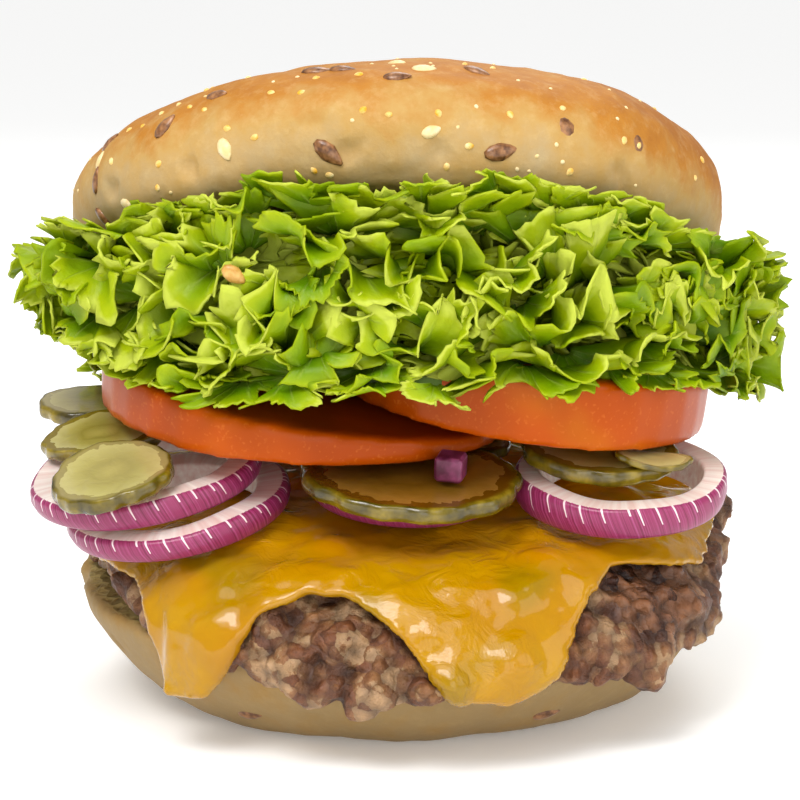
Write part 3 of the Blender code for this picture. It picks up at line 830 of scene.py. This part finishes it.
def pickle_slice(node, seed):
    """A slice: a warty rind round slightly sunken, wavy faces."""
    disc = Disc(node)
    turns, rings = 96, 12
    wide, deep, tall = disc.half
    around = np.linspace(0, 2 * math.pi, turns, endpoint=False)
    shares = np.append(np.linspace(0.06, 0.84, rings), (0.87, 0.9, 0.925, 0.945))
    section = [(share, 1.0) for share in shares]
    section += [(0.965, 0.96), (0.985, 0.84), (1.0, 0.5), (1.006, 0.0), (1.0, -0.5), (0.985, -0.84)]
    section += [(0.965, -0.96)] + [(share, -1.0) for share in shares[::-1]]
    rng = random.Random(seed)
    phase = rng.uniform(0, 6)
    vertices, skin, uv = [], [], []
    for angle in around:
        warts = 0.016 * math.sin(9 * angle + phase) + 0.012 * math.sin(17 * angle + 2 * phase)
        for share, level in section:
            rind = share**3
            r = share * (1 + warts * rind)
            sunk = 0.25 * math.sin(math.pi * min(1.0, share)) * (abs(level) == 1.0)
            wavy = 0.45 * math.sin(2 * angle + phase) * share**2
            vertices.append((wide * r * math.cos(angle), deep * r * math.sin(angle),
                             level * tall * (0.86 - sunk * 0.3) + wavy))
            skin.append(float(ramp_between(np.array(share + 0.012 * math.sin(7 * angle + phase)), 0.9, 0.97)))
            uv.append((share * math.cos(angle), share * math.sin(angle)))
    local = np.array(vertices)
    lumps = noise_at(local + seed * 31.0, 2.6, seed)
    mask = np.array(skin)
    outward = local * np.array([1, 1, 0])
    outward /= np.maximum(np.linalg.norm(outward, axis=1), 1e-6)[:, None]
    local += outward * (0.35 * lumps * mask)[:, None]
    places = disc.out(local)
    steps = len(section)
    faces = []
    for i in range(turns):
        k = (i + 1) % turns
        for j in range(steps - 1):
            faces.append((i * steps + j, i * steps + j + 1, k * steps + j + 1, k * steps + j))
    faces.append(tuple(i * steps for i in range(turns)))
    faces.append(tuple(i * steps + steps - 1 for i in reversed(range(turns))))
    mesh = bpy.data.meshes.new(node + "_cut")
    mesh.from_pydata((places * MM).tolist(), [], faces)
    obj = bpy.data.objects.new(node + "_cut", mesh)
    bpy.context.scene.collection.objects.link(obj)
    paint(obj, "skin", skin)
    layer = mesh.uv_layers.new(name="slice")
    for loop in mesh.loops:
        layer.data[loop.index].uv = uv[loop.vertex_index]
    shape = bmesh.new()
    shape.from_mesh(mesh)
    bmesh.ops.recalc_face_normals(shape, faces=shape.faces)
    shape.to_mesh(mesh)
    shape.free()
    return obj


class BURGER_OT_pickles(bpy.types.Operator):
    """Make the slices of pickled cucumber"""

    bl_idname = "burger.pickles"
    bl_label = "Pickle slices"

    def execute(self, context):
        material = pickled_cucumber(context.scene.burger_colours)
        # Paleness sets each slice's tint; the middle slice's low value gives its flesh painted reflected
        # light and shade.
        paleness = {"pickle_middle": 0.0, "pickle_middle_back": 0.3, "pickle_right_lower": 0.4,
                    "pickle_right_upper": 0.9, "pickle_left_front": 0.8, "pickle_left_back": 0.5,
                    "pickle_left_top": 1.0}
        for seed, (node, pale) in enumerate(paleness.items()):
            cut = pickle_slice(node, seed + 1)
            paint(cut, "pale", np.full(len(cut.data.vertices), pale))
            finish(cut, material, [node])
        return {"FINISHED"}


# The tomatoes: ripe, sliced thick


def ripe_tomato(colours):
    """Ripe tomato: a tight, smooth, glossy skin with fine pale specks, and wet flesh."""
    material, tree, shader = new_material("ripe tomato")
    where = add(tree, "TexCoord").outputs["Object"]
    skin = add(tree, "Attribute", attribute_name="skin").outputs["Fac"]
    tone = add(tree, "TexNoise", {"Vector": where, "Scale": 45.0, "Detail": 3.0})
    speck = add(tree, "TexNoise", {"Vector": where, "Scale": 1300.0, "Detail": 1.0})
    hue = shades(tree, tone.outputs["Fac"], (0.3, "#A84200"), (0.55, colours.tomato_skin), (0.8, "#C26802"))
    dots = add(tree, "MapRange", {"Value": speck.outputs["Fac"], "From Min": 0.6, "From Max": 0.75,
                                  "To Min": 0.0, "To Max": 0.2})
    specked = add(tree, "MixRGB", {"Fac": dots.outputs[0], "Color1": hue, "Color2": linear("#E58A3A")})
    flesh = shades(tree, tone.outputs["Fac"], (0.3, "#9C3600"), (0.7, "#BE4E04"))
    colour = add(tree, "MixRGB", {"Fac": skin, "Color1": flesh, "Color2": specked.outputs[0]})
    tree.links.new(colour.outputs[0], shader.inputs["Base Color"])
    wet = add(tree, "TexNoise", {"Vector": where, "Scale": 300.0, "Detail": 2.0})
    bump = add(tree, "Bump", {"Height": wet.outputs["Fac"], "Strength": 0.08, "Distance": 0.0004})
    tree.links.new(bump.outputs[0], shader.inputs["Normal"])
    shader.inputs["Roughness"].default_value = 0.28
    shader.inputs["Specular IOR Level"].default_value = 0.16
    shader.inputs["Subsurface Weight"].default_value = 0.03
    shader.inputs["Subsurface Radius"].default_value = (0.003, 0.001, 0.0003)
    shader.inputs["Subsurface Scale"].default_value = 1.0
    return material


class BURGER_OT_tomatoes(bpy.types.Operator):
    """Make the two tomato slices"""

    bl_idname = "burger.tomatoes"
    bl_label = "Tomato slices"

    def execute(self, context):
        material = ripe_tomato(context.scene.burger_colours)
        for node in ("tomato_slice_left", "tomato_slice_right"):
            disc = Disc(node)
            tomato = copy_of(node, node + "_cut")
            modify(tomato, "REMESH", mode="VOXEL", voxel_size=0.9 * MM)
            move_to(tomato, smoothed(tomato, 3))
            places = coordinates(tomato)
            out = normals(tomato)
            places += out * (0.35 * noise_at(places, 14, 3))[:, None]
            move_to(tomato, places)
            flat = np.abs(out @ disc.axes[2])
            paint(tomato, "skin", 1 - ramp_between(flat, 0.7, 0.9))
            finish(tomato, material, [node])
        return {"FINISHED"}


# The lettuce: a heap of frilly leaves


def frilly_lettuce(colours):
    """Crisp leaf lettuce: thin, waxy and lit from behind, paler along its frilled margin and darkened deep in
    the heap with painted shade.
    """
    material, tree, shader = new_material("frilly leaf lettuce")
    where = add(tree, "TexCoord").outputs["Object"]
    margin = add(tree, "Attribute", attribute_name="margin").outputs["Fac"]
    vein = add(tree, "Attribute", attribute_name="vein").outputs["Fac"]
    patch = add(tree, "TexNoise", {"Vector": where, "Scale": 90.0, "Detail": 4.0})
    blister = add(tree, "TexNoise", {"Vector": where, "Scale": 480.0, "Detail": 4.0})
    uneven = add(tree, "MapRange", {"Value": patch.outputs["Fac"], "From Min": 0.3, "From Max": 0.7,
                                    "To Min": -0.2, "To Max": 0.2})
    share = add(tree, "Math", {0: margin, 1: uneven.outputs[0]}, operation="ADD")
    # The leaves' green is darker half way in, partly painted shade.
    green = shades(tree, share.outputs[0], (0.1, "#8FA53A"), (0.4, colours.leaf_deep),
                   (0.72, colours.leaf), (0.93, "#B0C00A"), (1.0, colours.leaf_edge))
    ribs = add(tree, "MapRange", {"Value": vein, "To Min": 0.0, "To Max": 0.5})
    veined = add(tree, "MixRGB", {"Fac": ribs.outputs[0], "Color1": green, "Color2": linear("#B9CC5E")})
    # Painted shade: the deep attribute darkens the leaves towards the heap's middle.
    deep = add(tree, "Attribute", attribute_name="deep").outputs["Fac"]
    shade = add(tree, "MixRGB", {"Fac": deep, "Color1": (1, 1, 1, 1), "Color2": linear("#47602C")})
    veined = add(tree, "MixRGB", {"Fac": 1.0, "Color1": veined.outputs[0], "Color2": shade.outputs[0]},
                 blend_type="MULTIPLY")
    tree.links.new(veined.outputs[0], shader.inputs["Base Color"])
    raised = add(tree, "Math", {0: blister.outputs["Fac"], 1: vein}, operation="ADD")
    bump = add(tree, "Bump", {"Height": raised.outputs[0], "Strength": 0.5, "Distance": 0.0006})
    tree.links.new(bump.outputs[0], shader.inputs["Normal"])
    shader.inputs["Roughness"].default_value = 0.4
    shader.inputs["Specular IOR Level"].default_value = 0.22
    through = add(tree, "BsdfTranslucent", {"Color": veined.outputs[0], "Normal": bump.outputs[0]})
    both = add(tree, "MixShader", {0: 0.25, 1: shader.outputs[0], 2: through.outputs[0]})
    tree.links.new(both.outputs[0], tree.nodes["Material Output"].inputs["Surface"])
    return material


def shaded_leaves():
    """Leaves deep in the heap: dark, soft and matt."""
    material, tree, shader = new_material("lettuce in the shade")
    where = add(tree, "TexCoord").outputs["Object"]
    folds = add(tree, "TexNoise", {"Vector": where, "Scale": 170.0, "Detail": 4.0, "Distortion": 1.0})
    green = shades(tree, folds.outputs["Fac"], (0.35, "#1E2E02"), (0.7, "#4A6606"))
    tree.links.new(green, shader.inputs["Base Color"])
    shader.inputs["Roughness"].default_value = 0.7
    return material


class Heap:
    """The space the lettuce's CAD solid fills: how far out, how low and how high it goes."""

    def __init__(self, node):
        mesh = copy_and_drop(node).data
        self.corners = np.array([tuple(v.co) for v in mesh.vertices]) / MM
        shape = bmesh.new()
        shape.from_mesh(mesh)
        self.tree = BVHTree.FromBMesh(shape)
        shape.free()
        self.edge = self.reach()
        self.low, self.high = self.levels()

    def reach(self):
        """The outline's radius in each of 72 directions, smoothed over its frills."""
        angle = np.degrees(np.arctan2(self.corners[:, 1], self.corners[:, 0]))
        radius = np.hypot(self.corners[:, 0], self.corners[:, 1])
        out = np.array([radius[np.abs((angle - a + 180) % 360 - 180) < 7].max() for a in range(0, 360, 5)])
        return (np.roll(out, 1) + 2 * out + np.roll(out, -1)) / 4

    def radius(self, angle):
        steps = np.degrees(angle) / 5
        return np.interp(steps % 72, np.arange(73), np.append(self.edge, self.edge[0]))

    def levels(self):
        """The floor's and the ceiling's height, by direction and by share of the radius."""
        low = np.zeros((72, 9))
        high = np.zeros((72, 9))
        for i in range(72):
            a = math.radians(i * 5)
            for j in range(9):
                r = self.edge[i] * (0.1 + 0.1 * j) * MM
                start = Vector((r * math.cos(a), r * math.sin(a), 0.2))
                up = self.tree.ray_cast(start, Vector((0, 0, -1)))[0]
                start.z = 0
                down = self.tree.ray_cast(start, Vector((0, 0, 1)))[0]
                high[i, j] = up.z / MM
                low[i, j] = down.z / MM
        return low, high

    def room(self, radius, angle):
        """How low and how high a leaf may lie; its margin hangs out over the tomato and the bun."""
        share = radius / self.radius(angle)
        outside = ramp_between(share, 0.8, 1.0)
        inside = np.clip(share, 0.1, 0.86)
        low = self.level(self.low, angle, inside) + 0.8 - 4.5 * outside
        high = self.level(self.high, angle, inside) - 0.8 + (5.0 - 4.0 * np.sin(angle)) * outside
        return low, high

    def pressed(self, radius, angle, height):
        """Heights pressed softly between the tomato below and the crown above."""
        low, high = self.room(radius, angle)
        middle, half = (low + high) / 2, (high - low) / 2
        return middle + half * np.tanh((height - middle) / half * 1.1) / 0.95

    def level(self, table, angle, share):
        i = (np.degrees(angle) / 5) % 72
        j = np.clip((share - 0.1) / 0.1, 0, 7.999)
        i0, j0 = i.astype(int) % 72, j.astype(int)
        fi, fj = i - i.astype(int), j - j0
        i1 = (i0 + 1) % 72
        near = table[i0, j0] * (1 - fi) + table[i1, j0] * fi
        far = table[i0, j0 + 1] * (1 - fi) + table[i1, j0 + 1] * fi
        return near * (1 - fj) + far * fj


def wander(rng, count, every):
    """A smooth random line from about -1 to 1 that changes over every so many steps."""
    knots = rng.uniform(-1, 1, int(count / every) + 4)
    at = np.arange(count) / every + 1
    i = at.astype(int)
    t = at - i
    t = t * t * (3 - 2 * t)
    return knots[i] * (1 - t) + knots[i + 1] * t


def teeth(rng, count, every):
    """A jagged line of uneven points, 0 between them and up to 1 high."""
    at = np.arange(count) / every + 0.35 * wander(rng, count, every * 2)
    height = rng.uniform(0.25, 1.0, int(count / every) + 4)[np.clip(at.astype(int), 0, None)]
    return height * (1 - np.abs(at % 1 - 0.5) * 2) ** 1.3


# Leaves, as degrees round the heap, how many degrees wide, how high in the heap and how far out
LEAVES = (
    (-128, 78, 0.02, 0.96), (-62, 80, 0.08, 0.96), (178, 70, 0.10, 0.95), (-8, 66, 0.05, 0.97),
    (-95, 76, 0.20, 0.99), (-150, 60, 0.28, 0.98), (-35, 66, 0.22, 0.98), (60, 90, 0.15, 0.96),
    (125, 90, 0.15, 0.96), (-118, 70, 0.40, 1.00), (-72, 64, 0.38, 1.01), (-20, 60, 0.42, 0.99),
    (-168, 60, 0.50, 1.00), (92, 130, 0.50, 0.97), (-98, 74, 0.58, 1.00), (-50, 66, 0.60, 1.00),
    (-140, 66, 0.62, 0.98), (10, 70, 0.70, 0.98), (165, 70, 0.72, 0.96), (-120, 60, 0.78, 0.97),
    (-78, 66, 0.80, 1.00), (-40, 60, 0.80, 0.99), (-8, 50, 0.85, 0.98), (-95, 90, 0.97, 0.97),
    (-52, 60, 1.0, 0.98), (-150, 50, 0.95, 0.93), (-80, 44, 1.0, 1.0), (-30, 44, 0.98, 0.98),
)


def leaf(heap, number, fold):
    """One leaf: a sheet whose margin is so much longer than its root that it folds over itself."""
    centre, width, level, out = LEAVES[number]
    rng = np.random.default_rng(100 + number)
    per_fold, rows = 38, 20
    edge = float(heap.radius(np.array([math.radians(centre)]))[0]) * out
    span = math.radians(width) * edge
    folds = max(3, round(span / fold))
    count = folds * per_fold + 1
    v = np.linspace(0, 1, rows)[:, None] ** 0.8
    turn = 2 * np.pi * np.arange(count) / per_fold
    turn = turn + 1.5 * wander(rng, count, per_fold * 1.3) + rng.uniform(0, 6)
    strength = 1 + 0.3 * wander(rng, count, per_fold * 0.9)
    bend = 1.95 * v**1.3 * strength * np.sin(turn)
    bend += 1.1 * v**2.5 * np.sin(2.7 * turn + 2 * wander(rng, count, per_fold * 0.7))
    bend += 0.75 * v**5 * np.sin(6.1 * turn + 3 * wander(rng, count, per_fold * 0.4))
    window = np.ones(per_fold) / per_fold

    def mean_of(rows_of):
        padded = np.pad(rows_of, ((0, 0), (per_fold // 2, per_fold - 1 - per_fold // 2)), mode="edge")
        return np.array([np.convolve(row, window, mode="valid") for row in padded])

    step = span / (count - 1)
    shrink = np.maximum(mean_of(np.cos(bend)), 0.22)
    along = np.cumsum(np.cos(bend) / shrink, axis=1) * step
    along -= along[:, count // 2][:, None]
    rise = np.sin(bend) / shrink
    rise = np.cumsum(rise - mean_of(rise), axis=1) * step
    rise -= mean_of(rise)
    angle = math.radians(centre) + along / edge
    lean = 0.75 * wander(rng, count, per_fold * 0.8) * v
    reach = heap.radius(angle) * out * 0.88
    root = 0.42 + 0.05 * wander(rng, count, per_fold)
    share = root + (1 - root) * v
    ends = np.clip(np.minimum(np.arange(count), count - 1 - np.arange(count)) / per_fold, 0, 1)
    share = share * (1 - 0.22 * (1 - ends) ** 2) + 0.045 * wander(rng, count, per_fold * 0.6) * v**2
    radius = reach * share + rise * np.sin(lean) - 2.0 * v**2
    low, high = heap.room(radius, angle)
    height = (low + 1.5) * (1 - level) + (high - 1.5) * level + rise * np.cos(lean)
    height = heap.pressed(radius, angle, height)
    places = np.stack([radius * np.cos(angle), radius * np.sin(angle), height], axis=-1)
    tooth = 0.8 * teeth(rng, count, 3.0) + 2.4 * teeth(rng, count, 8.0)
    ahead = places[-1] - places[-3]
    ahead /= np.maximum(np.linalg.norm(ahead, axis=-1), 1e-6)[:, None]
    weight = ramp_between(v, 0.86, 1.0)[..., None]
    places += ahead[None] * (tooth - 1.2)[None, :, None] * weight
    ribs = np.abs((np.arange(count) / (per_fold * 0.45) + 0.4 * v) % 1 - 0.5) * 2
    ribs = ramp_between(ribs, 0.86, 1.0) * (1 - v)
    # deep: how far in the heap this lies, for the material's painted shade
    deep = 1 - ramp_between(radius / heap.radius(angle), 0.62, 0.95)
    return places, v + 0 * turn, ribs, deep


def sheet(name, places, masks):
    """A grid of places as a mesh, from Blender's own grid."""
    rows, count = places.shape[:2]
    deselect()
    bpy.ops.mesh.primitive_grid_add(x_subdivisions=count - 1, y_subdivisions=rows - 1, size=2)
    obj = bpy.context.object
    obj.name = name
    flat = coordinates(obj)
    column = np.rint((flat[:, 0] * MM + 1) / 2 * (count - 1)).astype(int)
    row = np.rint((flat[:, 1] * MM + 1) / 2 * (rows - 1)).astype(int)
    move_to(obj, places[row, column])
    for key, values in masks.items():
        paint(obj, key, values[row, column])
    return obj


def frill(heap, rng, around, level, grown):
    """One curl of a leaf's margin: a small fan, wavy and toothed along its rim, cupped to one side."""
    turns, rows = 60, 11
    outward = np.array([math.cos(around), math.sin(around), 0.0])
    side = np.array([-math.sin(around), math.cos(around), 0.0])
    lift = rng.uniform(-0.75, 0.95) + 0.5 * (level - 0.5)
    swing = rng.uniform(-0.7, 0.7)
    axis = outward * math.cos(lift) * math.cos(swing) + side * math.cos(lift) * math.sin(swing)
    axis[2] = math.sin(lift)
    roll = rng.uniform(-0.7, 0.7)
    across = np.cross([0, 0, 1.0], axis)
    across /= np.linalg.norm(across)
    face = np.cross(axis, across)
    across, face = (across * math.cos(roll) + face * math.sin(roll),
                    face * math.cos(roll) - across * math.sin(roll))
    v = np.linspace(0.12, 1, rows)[:, None]
    spread = rng.uniform(1.15, 1.6)
    fan = np.linspace(-spread, spread, turns)[None, :]
    waves = rng.uniform(3.4, 4.8)
    phase = waves * fan + rng.uniform(0, 6) + 0.8 * wander(rng, turns, 16)
    height = grown * rng.uniform(0.2, 0.34) * (1 + 0.4 * wander(rng, turns, 12))
    jag = 0.2 * teeth(rng, turns, 2.6) + 0.38 * teeth(rng, turns, 6.5)
    lobes = 0.16 * np.sin(1.7 * phase + rng.uniform(0, 6)) * v
    reach = grown * v * (1 + lobes + (jag - 0.22) * ramp_between(v, 0.66, 1.0))
    bulge = height * v**1.7 * np.sin(phase) + 0.4 * height * v**3 * np.sin(2.6 * phase + rng.uniform(0, 6))
    over = -0.5 * height * v**2 * np.sin(2 * phase)
    cup = rng.uniform(-0.25, 0.5) * grown * v**2
    level_reach = float(heap.radius(np.array([around]))[0])
    start = level_reach - grown * (0.55 + 0.35 * math.cos(lift))
    root = outward * start
    low, high = heap.room(np.array([start]), np.array([around]))
    root[2] = low[0] * (1 - level) + high[0] * level
    places = root + reach[..., None] * (axis * np.cos(fan)[..., None] + across * np.sin(fan)[..., None])
    places = places + (bulge + cup)[..., None] * face + over[..., None] * across
    radius = np.hypot(places[..., 0], places[..., 1])
    angle = np.arctan2(places[..., 1], places[..., 0])
    limit = heap.radius(angle) * (0.97 + 0.05 * np.sin(5 * angle + 3 * level))
    drawn = np.where(radius > limit, limit + 0.2 * (radius - limit), radius) / radius
    places[..., 0] *= drawn
    places[..., 1] *= drawn
    places[..., 2] = heap.pressed(radius * drawn, angle, places[..., 2])
    ribs = np.abs((fan * 2.2 + 0.3 * v + rng.uniform(0, 1)) % 1 - 0.5) * 2
    ribs = ramp_between(ribs, 0.8, 1.0) * (1 - v**2)
    # deep: how far in the heap this lies, for the material's painted shade
    deep = 1 - ramp_between(radius / heap.radius(angle), 0.7, 0.97)
    return places, (0.22 + 0.78 * v + 0 * fan) * rng.uniform(0.84, 1.08), ribs, deep


# Rows of frills, as how high in the heap, how far apart in degrees and how big in millimetres
FRILL_ROWS = ((0.02, 8.5, 11.0), (0.2, 9, 12.5), (0.42, 8, 12.5), (0.62, 8, 13.0), (0.82, 8, 12.5),
              (1.07, 8, 12.5))


def frill_row(heap, number):
    """A row of frills round the heap, as one object; where the heap is low, every other row is left out."""
    level, apart, size = FRILL_ROWS[number]
    rng = np.random.default_rng(500 + number)
    shapes = []
    masks = {"margin": [], "vein": [], "deep": []}
    for degrees in np.arange(-180, 180, apart) + (number % 2) * apart / 2:
        behind = math.sin(math.radians(degrees)) > 0.1
        if behind and number % 2:
            continue
        around = math.radians(degrees + rng.uniform(-0.35, 0.35) * apart)
        height = level + rng.uniform(-0.1, 0.1)
        places, margin, ribs, deep = frill(heap, rng, around, height, size * rng.uniform(0.75, 1.2))
        rows, turns = places.shape[:2]
        faces = [(i * turns + j, i * turns + j + 1, (i + 1) * turns + j + 1, (i + 1) * turns + j)
                 for i in range(rows - 1) for j in range(turns - 1)]
        shapes.append(((places.reshape(-1, 3) * MM).tolist(), faces))
        for key, values in (("margin", margin), ("vein", ribs), ("deep", deep)):
            masks[key].append(values.ravel())
    made = joined(shapes, f"lettuce_frills_{number + 1}")
    for key, values in masks.items():
        paint(made, key, np.concatenate(values))
    return made


class BURGER_OT_lettuce(bpy.types.Operator):
    """Make the heap of frilly lettuce leaves over a shaded core"""

    bl_idname = "burger.lettuce"
    bl_label = "Frilly lettuce"

    def execute(self, context):
        colours = context.scene.burger_colours
        sizes = context.scene.burger_sizes
        material = frilly_lettuce(colours)
        heap = Heap("lettuce")
        for number in range(len(LEAVES)):
            places, margin, ribs, deep = leaf(heap, number, sizes.fold / MM)
            masks = {"margin": margin, "vein": ribs, "deep": deep}
            made = sheet(f"lettuce_leaf_{number + 1}", places, masks)
            modify(made, "SOLIDIFY", thickness=sizes.leaf, offset=0.0)
            finish(made, material)
        for number in range(len(FRILL_ROWS)):
            made = frill_row(heap, number)
            modify(made, "SOLIDIFY", thickness=sizes.leaf, offset=0.0)
            finish(made, material)
        core = copy_of("lettuce", "lettuce_core")
        modify(core, "REMESH", mode="VOXEL", voxel_size=2 * MM)
        places = coordinates(core)
        radius = np.maximum(np.hypot(places[:, 0], places[:, 1]), 0.1)
        angle = np.arctan2(places[:, 1], places[:, 0])
        reach = np.minimum(radius, heap.radius(angle) * 0.72)
        places[:, 0] *= reach / radius
        places[:, 1] *= reach / radius
        places += normals(core) * (1.5 * noise_at(places, 6, 3) - 1.5)[:, None]
        move_to(core, places)
        finish(core, shaded_leaves(), ["lettuce"])
        golden = seed_coat("golden flax hull", "#B8822E", "#D9AE62", 0.35, 900.0)
        points, faces = seed_shape(*GOLDEN)
        leaves = [piece for piece in bpy.data.objects if piece.name.startswith("lettuce_")]
        spot = foremost(leaves, -27.0, 81.0)  # on the heap's left, high up
        tilt = Matrix.Rotation(0.6, 3, "Y")
        if spot:
            laid = [spot + tilt @ Vector((p.x, -p.z - 0.4, p.y)) * MM for p in points]
            finish(joined([(laid, faces)], "golden_seed"), golden)
        return {"FINISHED"}


# The stage


# The studio: brightness of the white surroundings and of the paper's own glow
SURROUNDINGS = 0.42
PAPER_GLOW = 0.18
PAPER_SIZE = 60  # metres, so that no edge of it is seen
# Soft lamps: name, place in metres, side in metres, power in watts
LAMPS = (
    ("key", (-0.3, -0.7, 0.95), 0.45, 6.5),
    ("fill", (0.8, -0.6, 0.45), 0.7, 2.5),
    ("front", (0.1, -1.1, 0.22), 0.6, 2.5),
    ("rim", (0.2, 0.8, 0.9), 0.7, 5.0),
)
LAMPS_AIM = Vector((0, 0, 0.05))
# The camera: what it looks at and how far from it in metres, its height in degrees, its lens in mm
CAMERA_TARGET = Vector((0, 0, 0.052))
CAMERA_DISTANCE = 0.5
CAMERA_RAISED = 9
CAMERA_LENS = 122.76


class BURGER_OT_stage(bpy.types.Operator):
    """Set up the pale floor, the soft studio light and the camera"""

    bl_idname = "burger.stage"
    bl_label = "Stage"

    def execute(self, context):
        deselect()
        bpy.ops.mesh.primitive_plane_add(size=PAPER_SIZE, location=(0, 0, -0.0002))
        floor = context.object
        floor.name = "floor"
        material, _, shader = new_material("white paper")
        shader.inputs["Base Color"].default_value = linear("#F7F7F6")
        shader.inputs["Roughness"].default_value = 0.8
        shader.inputs["Emission Color"].default_value = (1, 1, 1, 1)
        shader.inputs["Emission Strength"].default_value = PAPER_GLOW
        floor.data.materials.append(material)
        world = bpy.data.worlds.new("studio")
        context.scene.world = world
        world.use_nodes = True
        tree = world.node_tree
        tree.nodes["Background"].inputs["Color"].default_value = (1, 1, 1, 1)
        tree.nodes["Background"].inputs["Strength"].default_value = SURROUNDINGS
        context.scene.view_settings.view_transform = "Standard"
        for name, place, size, power in LAMPS:
            lamp = bpy.data.lights.new(name, "AREA")
            lamp.size = size
            lamp.energy = power
            light = bpy.data.objects.new(name, lamp)
            light.location = place
            aim = LAMPS_AIM - Vector(place)
            light.rotation_euler = aim.to_track_quat("-Z", "Y").to_euler()
            context.scene.collection.objects.link(light)
        sun = bpy.data.lights.new("sky", "SUN")
        sun.energy = 1.5
        sun.angle = 1.0
        light = bpy.data.objects.new("sky", sun)
        light.rotation_euler = (math.radians(30), 0, math.radians(-20))
        context.scene.collection.objects.link(light)
        raised = math.radians(CAMERA_RAISED)
        camera = bpy.data.objects.new("camera", bpy.data.cameras.new("camera"))
        camera.data.sensor_width = 36
        camera.data.lens = CAMERA_LENS
        back_from = Vector((0, -math.cos(raised), math.sin(raised)))
        camera.location = CAMERA_TARGET + back_from * CAMERA_DISTANCE
        camera.rotation_euler = (CAMERA_TARGET - camera.location).to_track_quat("-Z", "Y").to_euler()
        context.scene.collection.objects.link(camera)
        context.scene.camera = camera
        return {"FINISHED"}


# The add-on


def colour_property(name, description, default):
    return bpy.props.FloatVectorProperty(
        name=name, description=description, subtype="COLOR", size=3, min=0, max=1, default=linear(default)[:3]
    )


class BurgerColours(bpy.types.PropertyGroup):
    crust_gold: colour_property("Crust, golden", "The crown's top", "#B2762A")
    crust_pale: colour_property("Crust, pale", "The sides of the bun", "#B59C72")
    crumb: colour_property("Crumb", "The bun's cut faces", "#A18B55")
    flax: colour_property("Flax seed", "The brown seeds", "#5A3418")
    sesame: colour_property("Sesame seed", "The pale seeds", "#E3C583")
    beef: colour_property("Beef", "The mince inside the patty", "#774525")
    seared: colour_property("Beef, seared", "The patty's fried top", "#401D0B")
    cheese: colour_property("Cheese", "The melted slice", "#C68C00")
    onion_skin: colour_property("Onion skin", "The outside of each ring", "#96305F")
    onion_flesh: colour_property("Onion flesh", "The cut faces of each ring", "#E6D8D0")
    pickle_skin: colour_property("Pickle skin", "The rind of the slices", "#66570A")
    pickle_flesh: colour_property("Pickle flesh", "The cut faces of the slices", "#A1954A")
    tomato_skin: colour_property("Tomato skin", "The outside of the slices", "#B64C00")
    leaf: colour_property("Lettuce", "The leaves near their margin", "#90AC00")
    # Half way into a leaf its green is darker: partly painted shade.
    leaf_deep: colour_property("Lettuce, deep", "The leaves half way in", "#638F00")
    leaf_edge: colour_property("Lettuce edge", "The very margin of the leaves", "#CDD84C")


class BurgerSizes(bpy.types.PropertyGroup):
    mince: bpy.props.FloatProperty(
        name="Mince", description="The radius of a usual lump of mince", default=0.0019, unit="LENGTH"
    )
    fold: bpy.props.FloatProperty(
        name="Leaf fold", description="From one fold of a leaf's margin to the next", default=0.0098,
        unit="LENGTH"
    )
    leaf: bpy.props.FloatProperty(
        name="Leaf thickness", description="How thick a leaf is", default=0.00035, unit="LENGTH"
    )


class BURGER_PT_panel(bpy.types.Panel):
    """Lists what the add-on makes"""

    bl_idname = "BURGER_PT_panel"
    bl_label = "Cheeseburger"
    bl_space_type = "VIEW_3D"
    bl_region_type = "UI"
    bl_category = "Burger"

    def draw(self, context):
        for group in (context.scene.burger_sizes, context.scene.burger_colours):
            for name in group.__annotations__:
                self.layout.prop(group, name)
        for operator in OPERATORS:
            self.layout.operator(operator.bl_idname)


OPERATORS = (
    BURGER_OT_stage, BURGER_OT_bun, BURGER_OT_patty, BURGER_OT_cheese, BURGER_OT_onions,
    BURGER_OT_pickles, BURGER_OT_tomatoes, BURGER_OT_lettuce,
)
CLASSES = (BurgerColours, BurgerSizes, *OPERATORS, BURGER_PT_panel)


def register():
    for kind in CLASSES:
        bpy.utils.register_class(kind)
    bpy.types.Scene.burger_colours = bpy.props.PointerProperty(type=BurgerColours)
    bpy.types.Scene.burger_sizes = bpy.props.PointerProperty(type=BurgerSizes)


def unregister():
    del bpy.types.Scene.burger_sizes
    del bpy.types.Scene.burger_colours
    for kind in reversed(CLASSES):
        bpy.utils.unregister_class(kind)


def main():
    register()
    bpy.ops.burger.stage()
    bpy.ops.burger.bun()
    bpy.ops.burger.patty()
    bpy.ops.burger.cheese()
    bpy.ops.burger.onions()
    bpy.ops.burger.pickles()
    bpy.ops.burger.tomatoes()
    bpy.ops.burger.lettuce()


if __name__ == "__main__":
    main()
